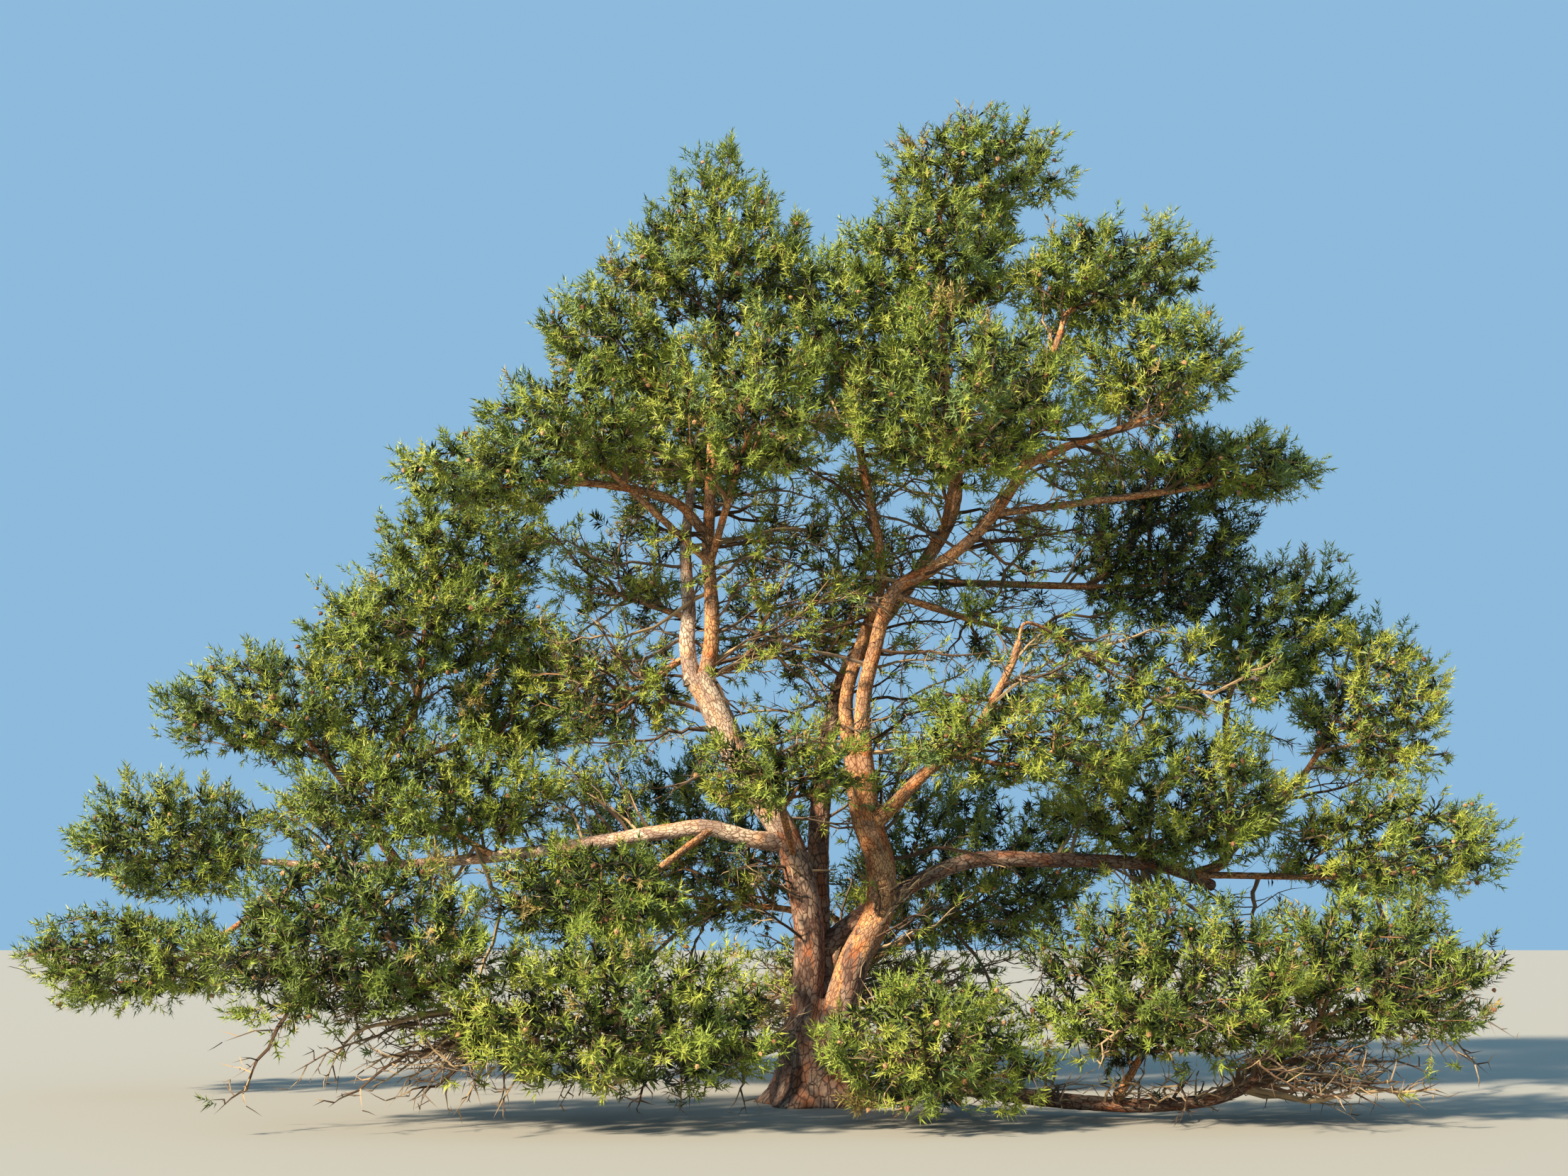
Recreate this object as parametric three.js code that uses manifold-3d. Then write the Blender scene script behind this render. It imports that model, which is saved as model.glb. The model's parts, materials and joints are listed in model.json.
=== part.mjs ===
// A Scots pine that grows as one wide clump. Three stems rise from a short trunk, two long low limbs
// run out and turn up into side crowns, and low boughs spread over the ground as a skirt.
// Millimetres, +Z up, +Y away from the viewer. The origin is in the flat cut under the trunk.

import * as THREE from "three";
import { mergeVertices } from "three/addons/utils/BufferGeometryUtils.js";
import Module from "manifold-3d";

const wasm = await Module();
wasm.setup();

const GAP = 0.3; // left between two pieces that meet
const UP = new THREE.Vector3(0, 0, 1);

// The trunk: short and broad with a flared foot, it forks into the stems about a metre up.
const TRUNK_HEIGHT = 1000;
const TRUNK_RADIUS = 400;
const TRUNK_FLARE = 0.62; // how much wider the foot is at the ground
const TRUNK_FLARE_HEIGHT = 240;
const TRUNK_TOP = 0.94; // the fork's flat top draws in to this share of the radius
const TRUNK_RINGS = 6;
const BUTTRESSES = 5;
const BUTTRESS_DEPTH = 0.13;

// Limbs. Each starts on its parent's centre line, or at its first point where it has no parent,
// runs smoothly through the points, and tapers from its foot radius to its tip radius.
const LIMBS = [
  { name: "stem_left", foot: 150, tip: 140,
    through: [[-170, -20, 800], [-150, -30, 1760], [-340, -50, 2500], [-790, -150, 3240], [-1180, -200, 4030],
      [-1270, -200, 4170]] },
  { name: "stem_left_fork", foot: 86, tip: 45,
    through: [[-1310, -210, 4080], [-1370, -190, 4510], [-1360, -100, 4850], [-1410, 100, 5550],
      [-1380, 620, 6350]] },
  { name: "leader_left", foot: 84, tip: 42,
    through: [[-1215, -190, 4080], [-1130, -200, 4430], [-1120, -200, 4830], [-1170, -100, 5500],
      [-1160, 0, 5980], [-1120, 100, 7240], [-1100, 60, 7780]] },
  { name: "stem_centre", foot: 132, tip: 34,
    through: [[20, 200, 800], [-40, 330, 1770], [-30, 450, 2680], [70, 500, 3630], [310, 600, 4390],
      [1090, 500, 5470], [1400, 400, 6030], [1430, 300, 6610], [1330, 200, 7210], [1300, 100, 9060]] },
  { name: "stem_right", foot: 160, tip: 145,
    through: [[130, -190, 800], [300, -260, 1370], [550, -200, 1860], [560, -200, 2320], [420, -200, 2780],
      [380, -200, 3190]] },
  { name: "stem_right_fork", foot: 82, tip: 36,
    through: [[325, -170, 3090], [240, 0, 3940], [380, 0, 4480], [610, -40, 5220], [500, -100, 6000],
      [300, -150, 7000]] },
  { name: "stem_right_leader", foot: 86, tip: 38,
    through: [[440, -230, 3090], [390, -300, 3830], [510, -300, 4400], [730, -350, 5030], [1090, -400, 5220],
      [1640, -500, 5670], [2050, -600, 6320], [2220, -700, 7080], [2420, -760, 7620]] },
  { name: "bough_left_high", from: "leader_left", foot: 52, tip: 36,
    through: [[-1500, -250, 5960], [-2200, -500, 6080], [-2560, -600, 6080]] },
  { name: "bough_right_high", from: "stem_right_leader", foot: 50, tip: 32,
    through: [[2480, -700, 6440], [2800, -800, 6520], [3180, -930, 6640]] },
  { name: "bough_right_low", from: "stem_right", foot: 72, tip: 34,
    through: [[1110, -500, 3270], [1400, -700, 3470], [1800, -860, 4150], [1900, -840, 4420]] },
  { name: "limb_left_low", from: "stem_left", foot: 88, tip: 34,
    through: [[-700, -160, 2550], [-1170, -240, 2660], [-1560, -200, 2620], [-2850, 200, 2450],
      [-3980, 800, 2360], [-5000, 1200, 2330], [-6180, 1350, 2400]] },
  { name: "stem_left_outer", from: "limb_left_low", foot: 56, tip: 30,
    through: [[-4760, 1230, 2800], [-4680, 1300, 3460], [-4410, 1400, 4070], [-4320, 1400, 5120],
      [-4230, 1350, 5420]] },
  { name: "limb_right_low", from: "stem_centre", foot: 94, tip: 62,
    through: [[480, 240, 1860], [1420, 100, 2330], [2250, 200, 2360], [3520, 600, 2300], [4080, 880, 2120]] },
  { name: "stem_right_outer", from: "limb_right_low", foot: 60, tip: 32,
    through: [[4280, 1020, 2420], [4380, 1200, 3040], [4420, 1300, 4060], [4580, 1300, 4460]] },
  { name: "fork_right_outer", from: "stem_right_outer", foot: 44, tip: 32,
    through: [[4680, 1200, 2900], [5180, 1200, 3300], [5440, 1150, 3700]] },
  { name: "limb_front_left", foot: 92, tip: 48,
    through: [[-250, -150, 640], [-700, -800, 560], [-1800, -1600, 640], [-2650, -2080, 860],
      [-3180, -2280, 1080]] },
  { name: "limb_front_right", foot: 96, tip: 52,
    through: [[260, -150, 520], [760, -640, 330], [1760, -1200, 170], [2970, -1600, 120], [3600, -1800, 260],
      [4040, -1880, 620]] },
  { name: "limb_back", foot: 92, tip: 50,
    through: [[0, 200, 600], [60, 900, 980], [160, 1650, 1380], [200, 1900, 1620]] },
];
const LIMB_SIDES = 6;
const LIMB_RING_SPACING = 520;
const BRANCH_RUN = 0.7; // a branch leaves its parent this share of its first run lower down
const BRANCH_RUN_MOST = 900;
const LIMB_MARGIN = 30; // kept between a spray and any limb or stem but its own

// Masses of foliage. Each has a centre, half sizes along X, Y and Z, and the limb that carries it.
const MASSES = [
  { name: "right_top", on: "stem_centre", at: [1680, 100, 9630], half: [1040, 1050, 640] },
  { name: "right_upper", on: "stem_centre", at: [1100, -100, 8520], half: [980, 1200, 700] },
  { name: "right_shoulder", on: "stem_right_leader", at: [2970, -610, 8200], half: [1020, 1150, 610],
    sprays: 9 },
  { name: "right_side", on: "bough_right_high", at: [3350, -950, 7100], half: [840, 1100, 590] },
  { name: "right_reach", on: "stem_right_leader", at: [4250, -100, 6340], half: [1060, 900, 380] },
  { name: "right_dark", on: "stem_centre", at: [3720, 900, 5750], half: [970, 1150, 1380], sprays: 9 },
  { name: "centre_upper", on: "stem_centre", at: [1310, -1400, 6650], half: [1230, 1150, 1060], sprays: 9 },
  { name: "centre_crown", on: "stem_right_fork", at: [120, -250, 7810], half: [1040, 1150, 780] },
  { name: "upper_back", on: "stem_centre", at: [1410, 1850, 7560], half: [1660, 1200, 870], sprays: 9 },
  { name: "left_top", on: "leader_left", at: [-1100, 50, 8400], half: [1320, 1050, 1790], cone: true,
    sprays: 10 },
  { name: "left_shoulder", on: "leader_left", at: [-2110, 200, 7760], half: [930, 1150, 700] },
  { name: "left_side", on: "leader_left", at: [-2440, -850, 6560], half: [960, 1100, 580] },
  { name: "left_inner", on: "leader_left", at: [-750, -1300, 6600], half: [1010, 1100, 930], sprays: 9 },
  { name: "left_reach", on: "bough_left_high", at: [-3360, -800, 6100], half: [980, 1050, 400] },
  { name: "left_back", on: "stem_left_fork", at: [-1650, 1800, 7090], half: [1350, 1200, 960] },
  { name: "mid_left", on: "stem_left_fork", at: [-2050, 750, 5420], half: [860, 1050, 900], sprays: 5 },
  { name: "mid_centre", on: "leader_left", at: [-210, 400, 5010], half: [1050, 1100, 1230], sprays: 5 },
  { name: "mid_right", on: "stem_right_leader", at: [2120, 200, 5000], half: [1050, 1050, 1000], sprays: 5 },
  { name: "mid_right_far", on: "bough_right_low", at: [3480, 200, 4160], half: [1300, 1000, 570] },
  { name: "low_left", on: "stem_left", at: [-2240, 300, 4030], half: [930, 1050, 750] },
  { name: "low_right", on: "bough_right_low", at: [1860, -800, 3420], half: [1220, 1050, 610] },
  { name: "front_stems", on: "stem_left", at: [-460, -1210, 3120], half: [900, 600, 520] },
  { name: "outer_left_top", on: "stem_left_outer", at: [-3840, 1300, 5780], half: [1040, 1100, 750] },
  { name: "outer_left_upper", on: "stem_left_outer", at: [-4220, 850, 4770], half: [1350, 1300, 760],
    sprays: 9 },
  { name: "outer_left_side", on: "stem_left_outer", at: [-5660, 1300, 3980], half: [1520, 1150, 730],
    sprays: 9 },
  { name: "outer_left_inner", on: "stem_left_outer", at: [-3260, 1350, 4150], half: [860, 1150, 890] },
  { name: "outer_left_mid", on: "limb_left_low", at: [-4030, 200, 2980], half: [1600, 1200, 700],
    sprays: 9 },
  { name: "outer_left_far", on: "limb_left_low", at: [-7020, 1400, 2570], half: [1060, 1150, 800],
    sprays: 9 },
  { name: "outer_left_low", on: "limb_left_low", at: [-7140, 900, 1300], half: [1270, 1050, 560] },
  { name: "outer_right_top", on: "stem_right_outer", at: [5120, 1300, 4790], half: [960, 900, 1010] },
  { name: "outer_right_side", on: "fork_right_outer", at: [5910, 1100, 3970], half: [820, 1100, 1120] },
  { name: "outer_right_mid", on: "limb_right_low", at: [3610, 350, 2920], half: [1300, 1150, 900],
    sprays: 9 },
  { name: "outer_right_far", on: "stem_right_outer", at: [5860, 550, 2440], half: [1170, 1150, 670] },
  { name: "skirt_left", on: "limb_front_left", at: [-4120, -2400, 1490], half: [1290, 1150, 980],
    sprays: 9 },
  { name: "skirt_left_inner", on: "limb_left_low", at: [-2250, -1500, 1950], half: [930, 1000, 530] },
  { name: "skirt_front", on: "limb_front_left", at: [-1840, -2650, 880], half: [1630, 1100, 800],
    sprays: 9 },
  { name: "skirt_centre", on: "limb_front_right", at: [870, -2500, 620], half: [1070, 1050, 690],
    sprays: 5 },
  { name: "skirt_right", on: "limb_front_right", at: [2900, -2250, 1120], half: [1330, 1050, 860],
    sprays: 9 },
  { name: "skirt_right_far", on: "limb_front_right", at: [4880, -1810, 1250], half: [1110, 1100, 780] },
  { name: "low_back_left", on: "limb_back", at: [-1590, 2600, 2450], half: [1650, 1300, 1260] },
  { name: "low_back_right", on: "limb_back", at: [1760, 2600, 2290], half: [1620, 1300, 1160] },
];
const TIP_SHARE = 0.95; // the first mass that lies past its limb's tip goes on from that tip
const SPACE_MARGIN = 0.06; // two neighbouring masses keep this far apart, in squared half sizes
const UNDERSIDE = 0.75; // a mass's lower half is this much flatter than its upper half
const HEART_DROP = 0.3; // the stem passes this share of the half height under the centre
const STEM_REACH = 0.45; // and ends this share of the half width past it
const STEM_RISE = 0.35; // turned up by this much
const STEM_SHARE = 0.8; // a stem's radius where it leaves its limb, as a share of the limb's
const STEM_FOOT_MOST = 38;
const STEM_TIP = 20;
const STEM_SIDES = 4;
const STEM_RINGS = 3;
const STEM_JOINTS = 12; // places along a stem where a twig can leave it

// Sprays of needles: toothed blades, each with the twig that carries it as its foot.
const SPRAYS = 7; // for each mass that doesn't state its own number
const LOWEST_SPRAY = -0.5; // the underside is bare: no twig reaches lower than this, on a unit ball
const HEART_REACH = [0.42, 0.3, 0.55]; // where a spray's heart may lie, as a share of the half sizes
const TWIG_SUNK = 22; // the twig's foot lies this far beyond the stem's centre line
const PATH_WEIGHT = 0.35; // twigs prefer a short way back along the stem to a short jump
const USED_JOINT = 1000; // and a joint that holds no twig yet
const SPRAY_LIFT = 0.3; // sprays turn up towards the light
const SPRAY_SCATTER = 0.3;
const SPRAY_PRONGS = 5;
const SPRAY_FAN = 2.5; // radians from the first prong to the last
const SPRAY_NOTCH = 0.5; // the notches between the prongs are this share of the prongs' length
const SPRAY_WAIST = 0.09; // half width where the twig runs into the blade, as a share of its length
const SPRAY_THICKNESS = 0.1;
const PRONG_STEP = 30; // a prong grows by this much at a time, until it would leave its mass's space
const PRONG_MOST = 1.1; // of the mass's mean half size
const REACH_LEAST = 0.22; // a spray whose reach is less than this on average is skipped
const SPRAY_SIZES = [1, 0.85, 0.7, 0.55]; // a spray that would touch something is made smaller
const SPRAY_ROLLS = 4; // and turned about its twig in this many ways

const BARK_LOW = new THREE.MeshStandardMaterial({ color: 0x8a6a54, roughness: 0.95, metalness: 0 });
const BARK_HIGH = new THREE.MeshStandardMaterial({ color: 0xb87443, roughness: 0.85, metalness: 0 });
const NEEDLES = new THREE.MeshStandardMaterial({ color: 0x4f6a30, roughness: 0.7, metalness: 0 });

const vector = (xyz) => new THREE.Vector3(...xyz);

// A small seeded generator, so that every build grows the same tree.
function seeded(seed) {
  let state = seed;
  return () => {
    state = (state + 0x6d2b79f5) | 0;
    let mixed = Math.imul(state ^ (state >>> 15), 1 | state);
    mixed = (mixed + Math.imul(mixed ^ (mixed >>> 7), 61 | mixed)) ^ mixed;
    return ((mixed ^ (mixed >>> 14)) >>> 0) / 4294967296;
  };
}

// A closed geometry as a solid.
function solidOf(geometry) {
  const bare = geometry.clone();
  bare.deleteAttribute("normal");
  bare.deleteAttribute("uv");
  const merged = mergeVertices(bare, 1e-3);
  return new wasm.Manifold(
    new wasm.Mesh({
      numProp: 3,
      vertProperties: merged.attributes.position.array,
      triVerts: new Uint32Array(merged.index.array),
    }),
  );
}

function geometryOf(solid) {
  const mesh = solid.getMesh();
  const geometry = new THREE.BufferGeometry();
  geometry.setAttribute("position", new THREE.BufferAttribute(mesh.vertProperties, 3));
  geometry.setIndex(new THREE.BufferAttribute(mesh.triVerts, 1));
  return geometry;
}

function largestPiece(solid) {
  return solid.decompose().reduce((best, piece) => (piece.volume() > best.volume() ? piece : best));
}

// A cylinder bent along a curve, with a radius that may change along it and round it.
function bentCylinder(curve, radiusAt, sides, rings) {
  const geometry = new THREE.CylinderGeometry(1, 1, 1, sides, rings);
  const frames = curve.computeFrenetFrames(rings);
  const position = geometry.attributes.position;
  for (let i = 0; i < position.count; i++) {
    const across = position.getX(i);
    const depth = position.getZ(i);
    const ring = Math.round((position.getY(i) + 0.5) * rings);
    const radius = radiusAt(ring / rings, Math.atan2(depth, across));
    const point = curve
      .getPointAt(ring / rings)
      .addScaledVector(frames.normals[ring], across * radius)
      .addScaledVector(frames.binormals[ring], -depth * radius);
    position.setXYZ(i, point.x, point.y, point.z);
  }
  return geometry;
}

// The curve of a cutter, a little longer than its limb at both ends.
function lengthened(curve, extra) {
  const points = curve.points.map((p) => p.clone());
  const last = points.length - 1;
  points[0].addScaledVector(curve.getTangentAt(0), -extra);
  points[last].addScaledVector(curve.getTangentAt(1), extra);
  return new THREE.CatmullRomCurve3(points);
}

// The place on a curve that is nearest to a point, as a share of the curve's length.
function nearestOn(curve, point) {
  let nearest = { share: 0, distance: Infinity };
  for (let share = 0; share <= 1; share += 0.01) {
    const distance = curve.getPointAt(share).distanceTo(point);
    if (distance < nearest.distance) nearest = { share, distance };
  }
  return nearest;
}

// Where a branch that first runs to a point leaves its parent's centre line.
function startOn(parent, point) {
  const { share, distance } = nearestOn(parent.curve, point);
  const run = Math.min(BRANCH_RUN * distance, BRANCH_RUN_MOST);
  return Math.max(0.02, share - run / parent.curve.getLength());
}

function makeLimb(spec, limbs) {
  const points = spec.through.map(vector);
  if (spec.from) {
    const parent = limbs.get(spec.from);
    points.unshift(parent.curve.getPointAt(startOn(parent, points[0])));
  }
  const curve = new THREE.CatmullRomCurve3(points);
  const rings = Math.max(4, Math.round(curve.getLength() / LIMB_RING_SPACING));
  const radiusAt = (share) => spec.foot + (spec.tip - spec.foot) * share;
  const whole = solidOf(bentCylinder(curve, radiusAt, LIMB_SIDES, rings));
  const cutter = solidOf(
    bentCylinder(lengthened(curve, GAP), (share) => radiusAt(share) + 2 * GAP, LIMB_SIDES, rings),
  );
  const wide = solidOf(bentCylinder(curve, (share) => radiusAt(share) + LIMB_MARGIN, LIMB_SIDES, rings));
  return { name: spec.name, curve, radiusAt, whole, cutter, wide };
}

// The trunk's radius, wider and fluted towards the ground.
function trunkRadius(share, angle) {
  const flare = Math.exp((-share * TRUNK_HEIGHT) / TRUNK_FLARE_HEIGHT);
  const flutes = 1 + BUTTRESS_DEPTH * flare * Math.cos(BUTTRESSES * angle);
  const top = share === 1 ? TRUNK_TOP : 1;
  return TRUNK_RADIUS * (1 + TRUNK_FLARE * flare) * flutes * top;
}

function makeTrunk() {
  const bent = (height, extra) => solidOf(bentCylinder(
    new THREE.LineCurve3(new THREE.Vector3(), new THREE.Vector3(0, 0, height)),
    (share, angle) => trunkRadius(share, angle) + extra, 4 * BUTTRESSES, TRUNK_RINGS));
  const curve = new THREE.LineCurve3(new THREE.Vector3(), new THREE.Vector3(0, 0, TRUNK_HEIGHT));
  const cutter = bent(TRUNK_HEIGHT + GAP, 2 * GAP);
  const whole = bent(TRUNK_HEIGHT, 0);
  return { name: "trunk", curve, radiusAt: () => TRUNK_RADIUS, whole, cutter, wide: cutter };
}

// Below 1 inside a mass's space: an ellipsoid with a flatter underside, or one with a cone on top.
function level(mass, point) {
  const x = (point.x - mass.centre.x) / mass.half.x;
  const y = (point.y - mass.centre.y) / mass.half.y;
  const up = point.z - mass.centre.z;
  if (mass.cone && up > 0) return (Math.hypot(x, y) + up / mass.half.z) ** 2;
  const z = up / ((mass.cone ? mass.half.x : mass.half.z) * UNDERSIDE);
  return x * x + y * y + (up < 0 ? z * z : (up / mass.half.z) ** 2);
}

function inSpace(mass, masses, point) {
  const own = level(mass, point);
  return own <= 1 && point.z > LIMB_MARGIN
    && masses.every((other) => other === mass || level(other, point) > own + SPACE_MARGIN);
}

// The stem of a mass: from inside its limb, past the heart of the mass.
function stemOf(mass) {
  const { limb } = mass;
  const heart = mass.centre.clone().addScaledVector(UP, -HEART_DROP * mass.half.z);
  const atTip = nearestOn(limb.curve, heart).share > TIP_SHARE && !limb.tipTaken;
  if (atTip) limb.tipTaken = true;
  const share = atTip ? 0.99 : startOn(limb, heart);
  const points = [limb.curve.getPointAt(share)];
  if (atTip) points.push(limb.curve.getPointAt(1).addScaledVector(limb.curve.getTangentAt(1), 60));
  const ahead = heart.clone().sub(points[0]).setZ(0).normalize();
  const reach = STEM_REACH * Math.hypot(ahead.x * mass.half.x, ahead.y * mass.half.y);
  points.push(heart, heart.clone().addScaledVector(ahead, reach).addScaledVector(UP, STEM_RISE * reach));
  const curve = new THREE.CatmullRomCurve3(points);
  const foot = Math.min(STEM_FOOT_MOST, STEM_SHARE * limb.radiusAt(share));
  const bent = (extra) => solidOf(bentCylinder(
    curve, (along) => foot + (STEM_TIP - foot) * along + extra, STEM_SIDES, STEM_RINGS));
  return { curve, solid: bent(0), wide: bent(LIMB_MARGIN) };
}

// The directions that the twigs of a mass reach for: even all round, and none underneath.
function spraySpots(mass, random) {
  const turn = random() * 2 * Math.PI;
  return Array.from({ length: mass.sprays }, (_, i) => {
    const z = 1 - ((i + (mass.cone ? 0 : 0.5)) / mass.sprays) * (1 - LOWEST_SPRAY);
    const angle = turn + i * Math.PI * (3 - Math.sqrt(5));
    const flat = Math.sqrt(1 - z * z);
    return new THREE.Vector3(flat * Math.cos(angle), flat * Math.sin(angle), z);
  });
}

// How far a prong can grow from a spray's heart before it would leave the mass's space.
function prongLength(mass, masses, heart, direction) {
  const most = PRONG_MOST * mass.meanHalf;
  let length = 0;
  while (length < most && inSpace(mass, masses, heart.clone().addScaledVector(direction, length + PRONG_STEP))) {
    length += PRONG_STEP;
  }
  return length;
}

// The toothed edge of a spray: its reach from the heart in each direction, prongs and notches by turns.
function sprayReach(mass, masses, heart, directions) {
  const reach = directions.map((direction) => prongLength(mass, masses, heart, direction));
  return reach.map((length, i) => (i % 2 === 0 ? length
    : Math.min(length, SPRAY_NOTCH * (reach[i - 1] + reach[i + 1]) / 2)));
}

// A toothed blade, thickest at its heart, that narrows back to a twig whose foot is in the stem.
function sprayGeometry(foot, heart, along, across, edge) {
  const thickness = SPRAY_THICKNESS * Math.max(...edge.map((p) => p.distanceTo(heart)));
  const waist = (SPRAY_WAIST / SPRAY_THICKNESS) * thickness;
  const twig = heart.clone().sub(foot).normalize();
  const base = foot.clone().addScaledVector(twig, -TWIG_SUNK);
  const corner = (from, back, aside) =>
    from.clone().addScaledVector(along, -back).addScaledVector(across, aside);
  const outline = [base, corner(heart, waist, -waist), ...edge, corner(heart, waist, waist)];
  const normal = along.clone().cross(across);
  const geometry = new THREE.SphereGeometry(1, outline.length, 2);
  const position = geometry.attributes.position;
  const perRow = outline.length + 1;
  for (let i = 0; i < position.count; i++) {
    const row = Math.floor(i / perRow);
    const point = row === 1
      ? outline[(i % perRow) % outline.length]
      : heart.clone().addScaledVector(normal, (row === 0 ? 0.5 : -0.5) * thickness);
    position.setXYZ(i, point.x, point.y, point.z);
  }
  return geometry;
}

// Whether two solids' boxes meet, as a quick test before a full one.
function boxesMeet(one, other) {
  const a = one.boundingBox();
  const b = other.boundingBox();
  return [0, 1, 2].every((axis) => a.min[axis] < b.max[axis] && b.min[axis] < a.max[axis]);
}

const meets = (one, other) => boxesMeet(one, other) && !one.intersect(other).isEmpty();

// The spray that best keeps to its mass's space: clear of all obstacles and of the most fellow sprays.
function placeSpray(mass, masses, spot, along, roll, joints, obstacles, fellows) {
  for (const share of HEART_REACH) {
    const heart = spot.clone().multiply(mass.half).multiplyScalar(share).add(mass.centre);
    if (!inSpace(mass, masses, heart)) continue;
    const cost = (joint) => joint.at.distanceTo(heart) + PATH_WEIGHT * joint.path + joint.used * USED_JOINT;
    const joint = joints.reduce((best, other) => (cost(other) < cost(best) ? other : best));
    for (const size of SPRAY_SIZES) {
      const candidates = [];
      for (let i = 0; i < SPRAY_ROLLS; i++) {
        const across = roll.clone().applyAxisAngle(along, (i / SPRAY_ROLLS) * Math.PI);
        const directions = Array.from({ length: 2 * SPRAY_PRONGS - 1 }, (_, k) => {
          const turn = (k / (2 * SPRAY_PRONGS - 2) - 0.5) * SPRAY_FAN;
          return along.clone().multiplyScalar(Math.cos(turn)).addScaledVector(across, Math.sin(turn));
        });
        const reach = sprayReach(mass, masses, heart, directions);
        if (reach.reduce((sum, length) => sum + length) < REACH_LEAST * reach.length * mass.meanHalf) continue;
        const edge = directions.map((way, k) => heart.clone().addScaledVector(way, size * reach[k]));
        const solid = solidOf(sprayGeometry(joint.at, heart, along, across, edge));
        if (obstacles.some((obstacle) => meets(solid, obstacle))) continue;
        candidates.push({ solid, met: fellows.filter((fellow) => meets(solid, fellow)).length });
      }
      if (candidates.length === 0) continue;
      joint.used += 1;
      return candidates.reduce((best, other) => (other.met < best.met ? other : best)).solid;
    }
  }
  return null;
}

// The places on a mass's stem where twigs can leave it, clear of the limb and inside the space.
function stemJoints(mass, masses) {
  const { curve } = mass.stem;
  return Array.from({ length: STEM_JOINTS + 1 }, (_, i) => i / STEM_JOINTS)
    .map((share) => ({ at: curve.getPointAt(share), path: share * curve.getLength(), used: 0 }))
    .filter((joint) => {
      const { share, distance } = nearestOn(mass.limb.curve, joint.at);
      return inSpace(mass, masses, joint.at) && distance > mass.limb.radiusAt(share) + 2 * LIMB_MARGIN;
    });
}

function growMass(mass, masses, obstacles) {
  const random = seeded(mass.seed);
  const jitter = () => new THREE.Vector3(random() - 0.5, random() - 0.5, random() - 0.5);
  const joints = stemJoints(mass, masses);
  const sprays = [];
  for (const spot of spraySpots(mass, random)) {
    const scatter = SPRAY_SCATTER * Math.hypot(spot.x, spot.y);
    const along = spot.clone().multiply(mass.half).normalize().addScaledVector(UP, SPRAY_LIFT)
      .addScaledVector(jitter(), scatter).normalize();
    const roll = along.clone().cross(jitter()).normalize();
    const spray = placeSpray(mass, masses, spot, along, roll, joints, obstacles, sprays);
    if (spray) sprays.push(spray);
  }
  return wasm.Manifold.union([mass.stem.solid, ...sprays]);
}

const tree = new THREE.Group();
tree.name = "scots_pine";

function addNode(name, solid, material) {
  const mesh = new THREE.Mesh(geometryOf(solid), material);
  mesh.name = name;
  tree.add(mesh);
}

// Limbs in order, each cut clear of the ones before it, so that forks meet face to face.
const limbs = new Map([["trunk", makeTrunk()]]);
for (const spec of LIMBS) limbs.set(spec.name, makeLimb(spec, limbs));
const placed = [];
for (const limb of limbs.values()) {
  const cut = placed.reduce((solid, other) => solid.subtract(other.cutter), limb.whole);
  const material = limb.curve.getPointAt(0.5).z < 2600 ? BARK_LOW : BARK_HIGH;
  addNode(limb.name, largestPiece(cut), material);
  placed.push(limb);
}

const masses = MASSES.map((spec, index) => ({
  name: spec.name,
  centre: vector(spec.at),
  half: vector(spec.half),
  meanHalf: Math.cbrt(spec.half[0] * spec.half[1] * spec.half[2]),
  cone: spec.cone ?? false,
  sprays: spec.sprays ?? SPRAYS,
  limb: limbs.get(spec.on),
  seed: 101 + 17 * index,
}));
for (const mass of masses) mass.stem = stemOf(mass);
const allLimbs = wasm.Manifold.union([...limbs.values()].map((limb) => limb.cutter));
const grown = [];
for (const mass of masses) {
  const space = solidOf(new THREE.BoxGeometry(2 * mass.half.x, 2 * mass.half.y, 2 * mass.half.z)
    .translate(mass.centre.x, mass.centre.y, mass.centre.z));
  const others = masses.filter((other) => other !== mass).map((other) => other.stem.wide);
  const obstacles = [...[...limbs.values()].map((limb) => limb.wide), ...others, ...grown]
    .filter((obstacle) => boxesMeet(obstacle, space));
  const solid = largestPiece(growMass(mass, masses, obstacles).subtract(allLimbs));
  addNode(mass.name, solid, NEEDLES);
  grown.push(solid);
}

export default tree;
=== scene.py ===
# A Scots pine that grows as one wide clump, dressed over its solids: bark with relief on the trunk
# and limbs, twigs that branch by the solids' own rule and go on finer, brushes of needles on their
# ends, cones, and the dead wood of the low boughs. The tables of places are in millimetres, with x
# to the right, y away from the camera and z up. Everything else is in metres.

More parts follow.
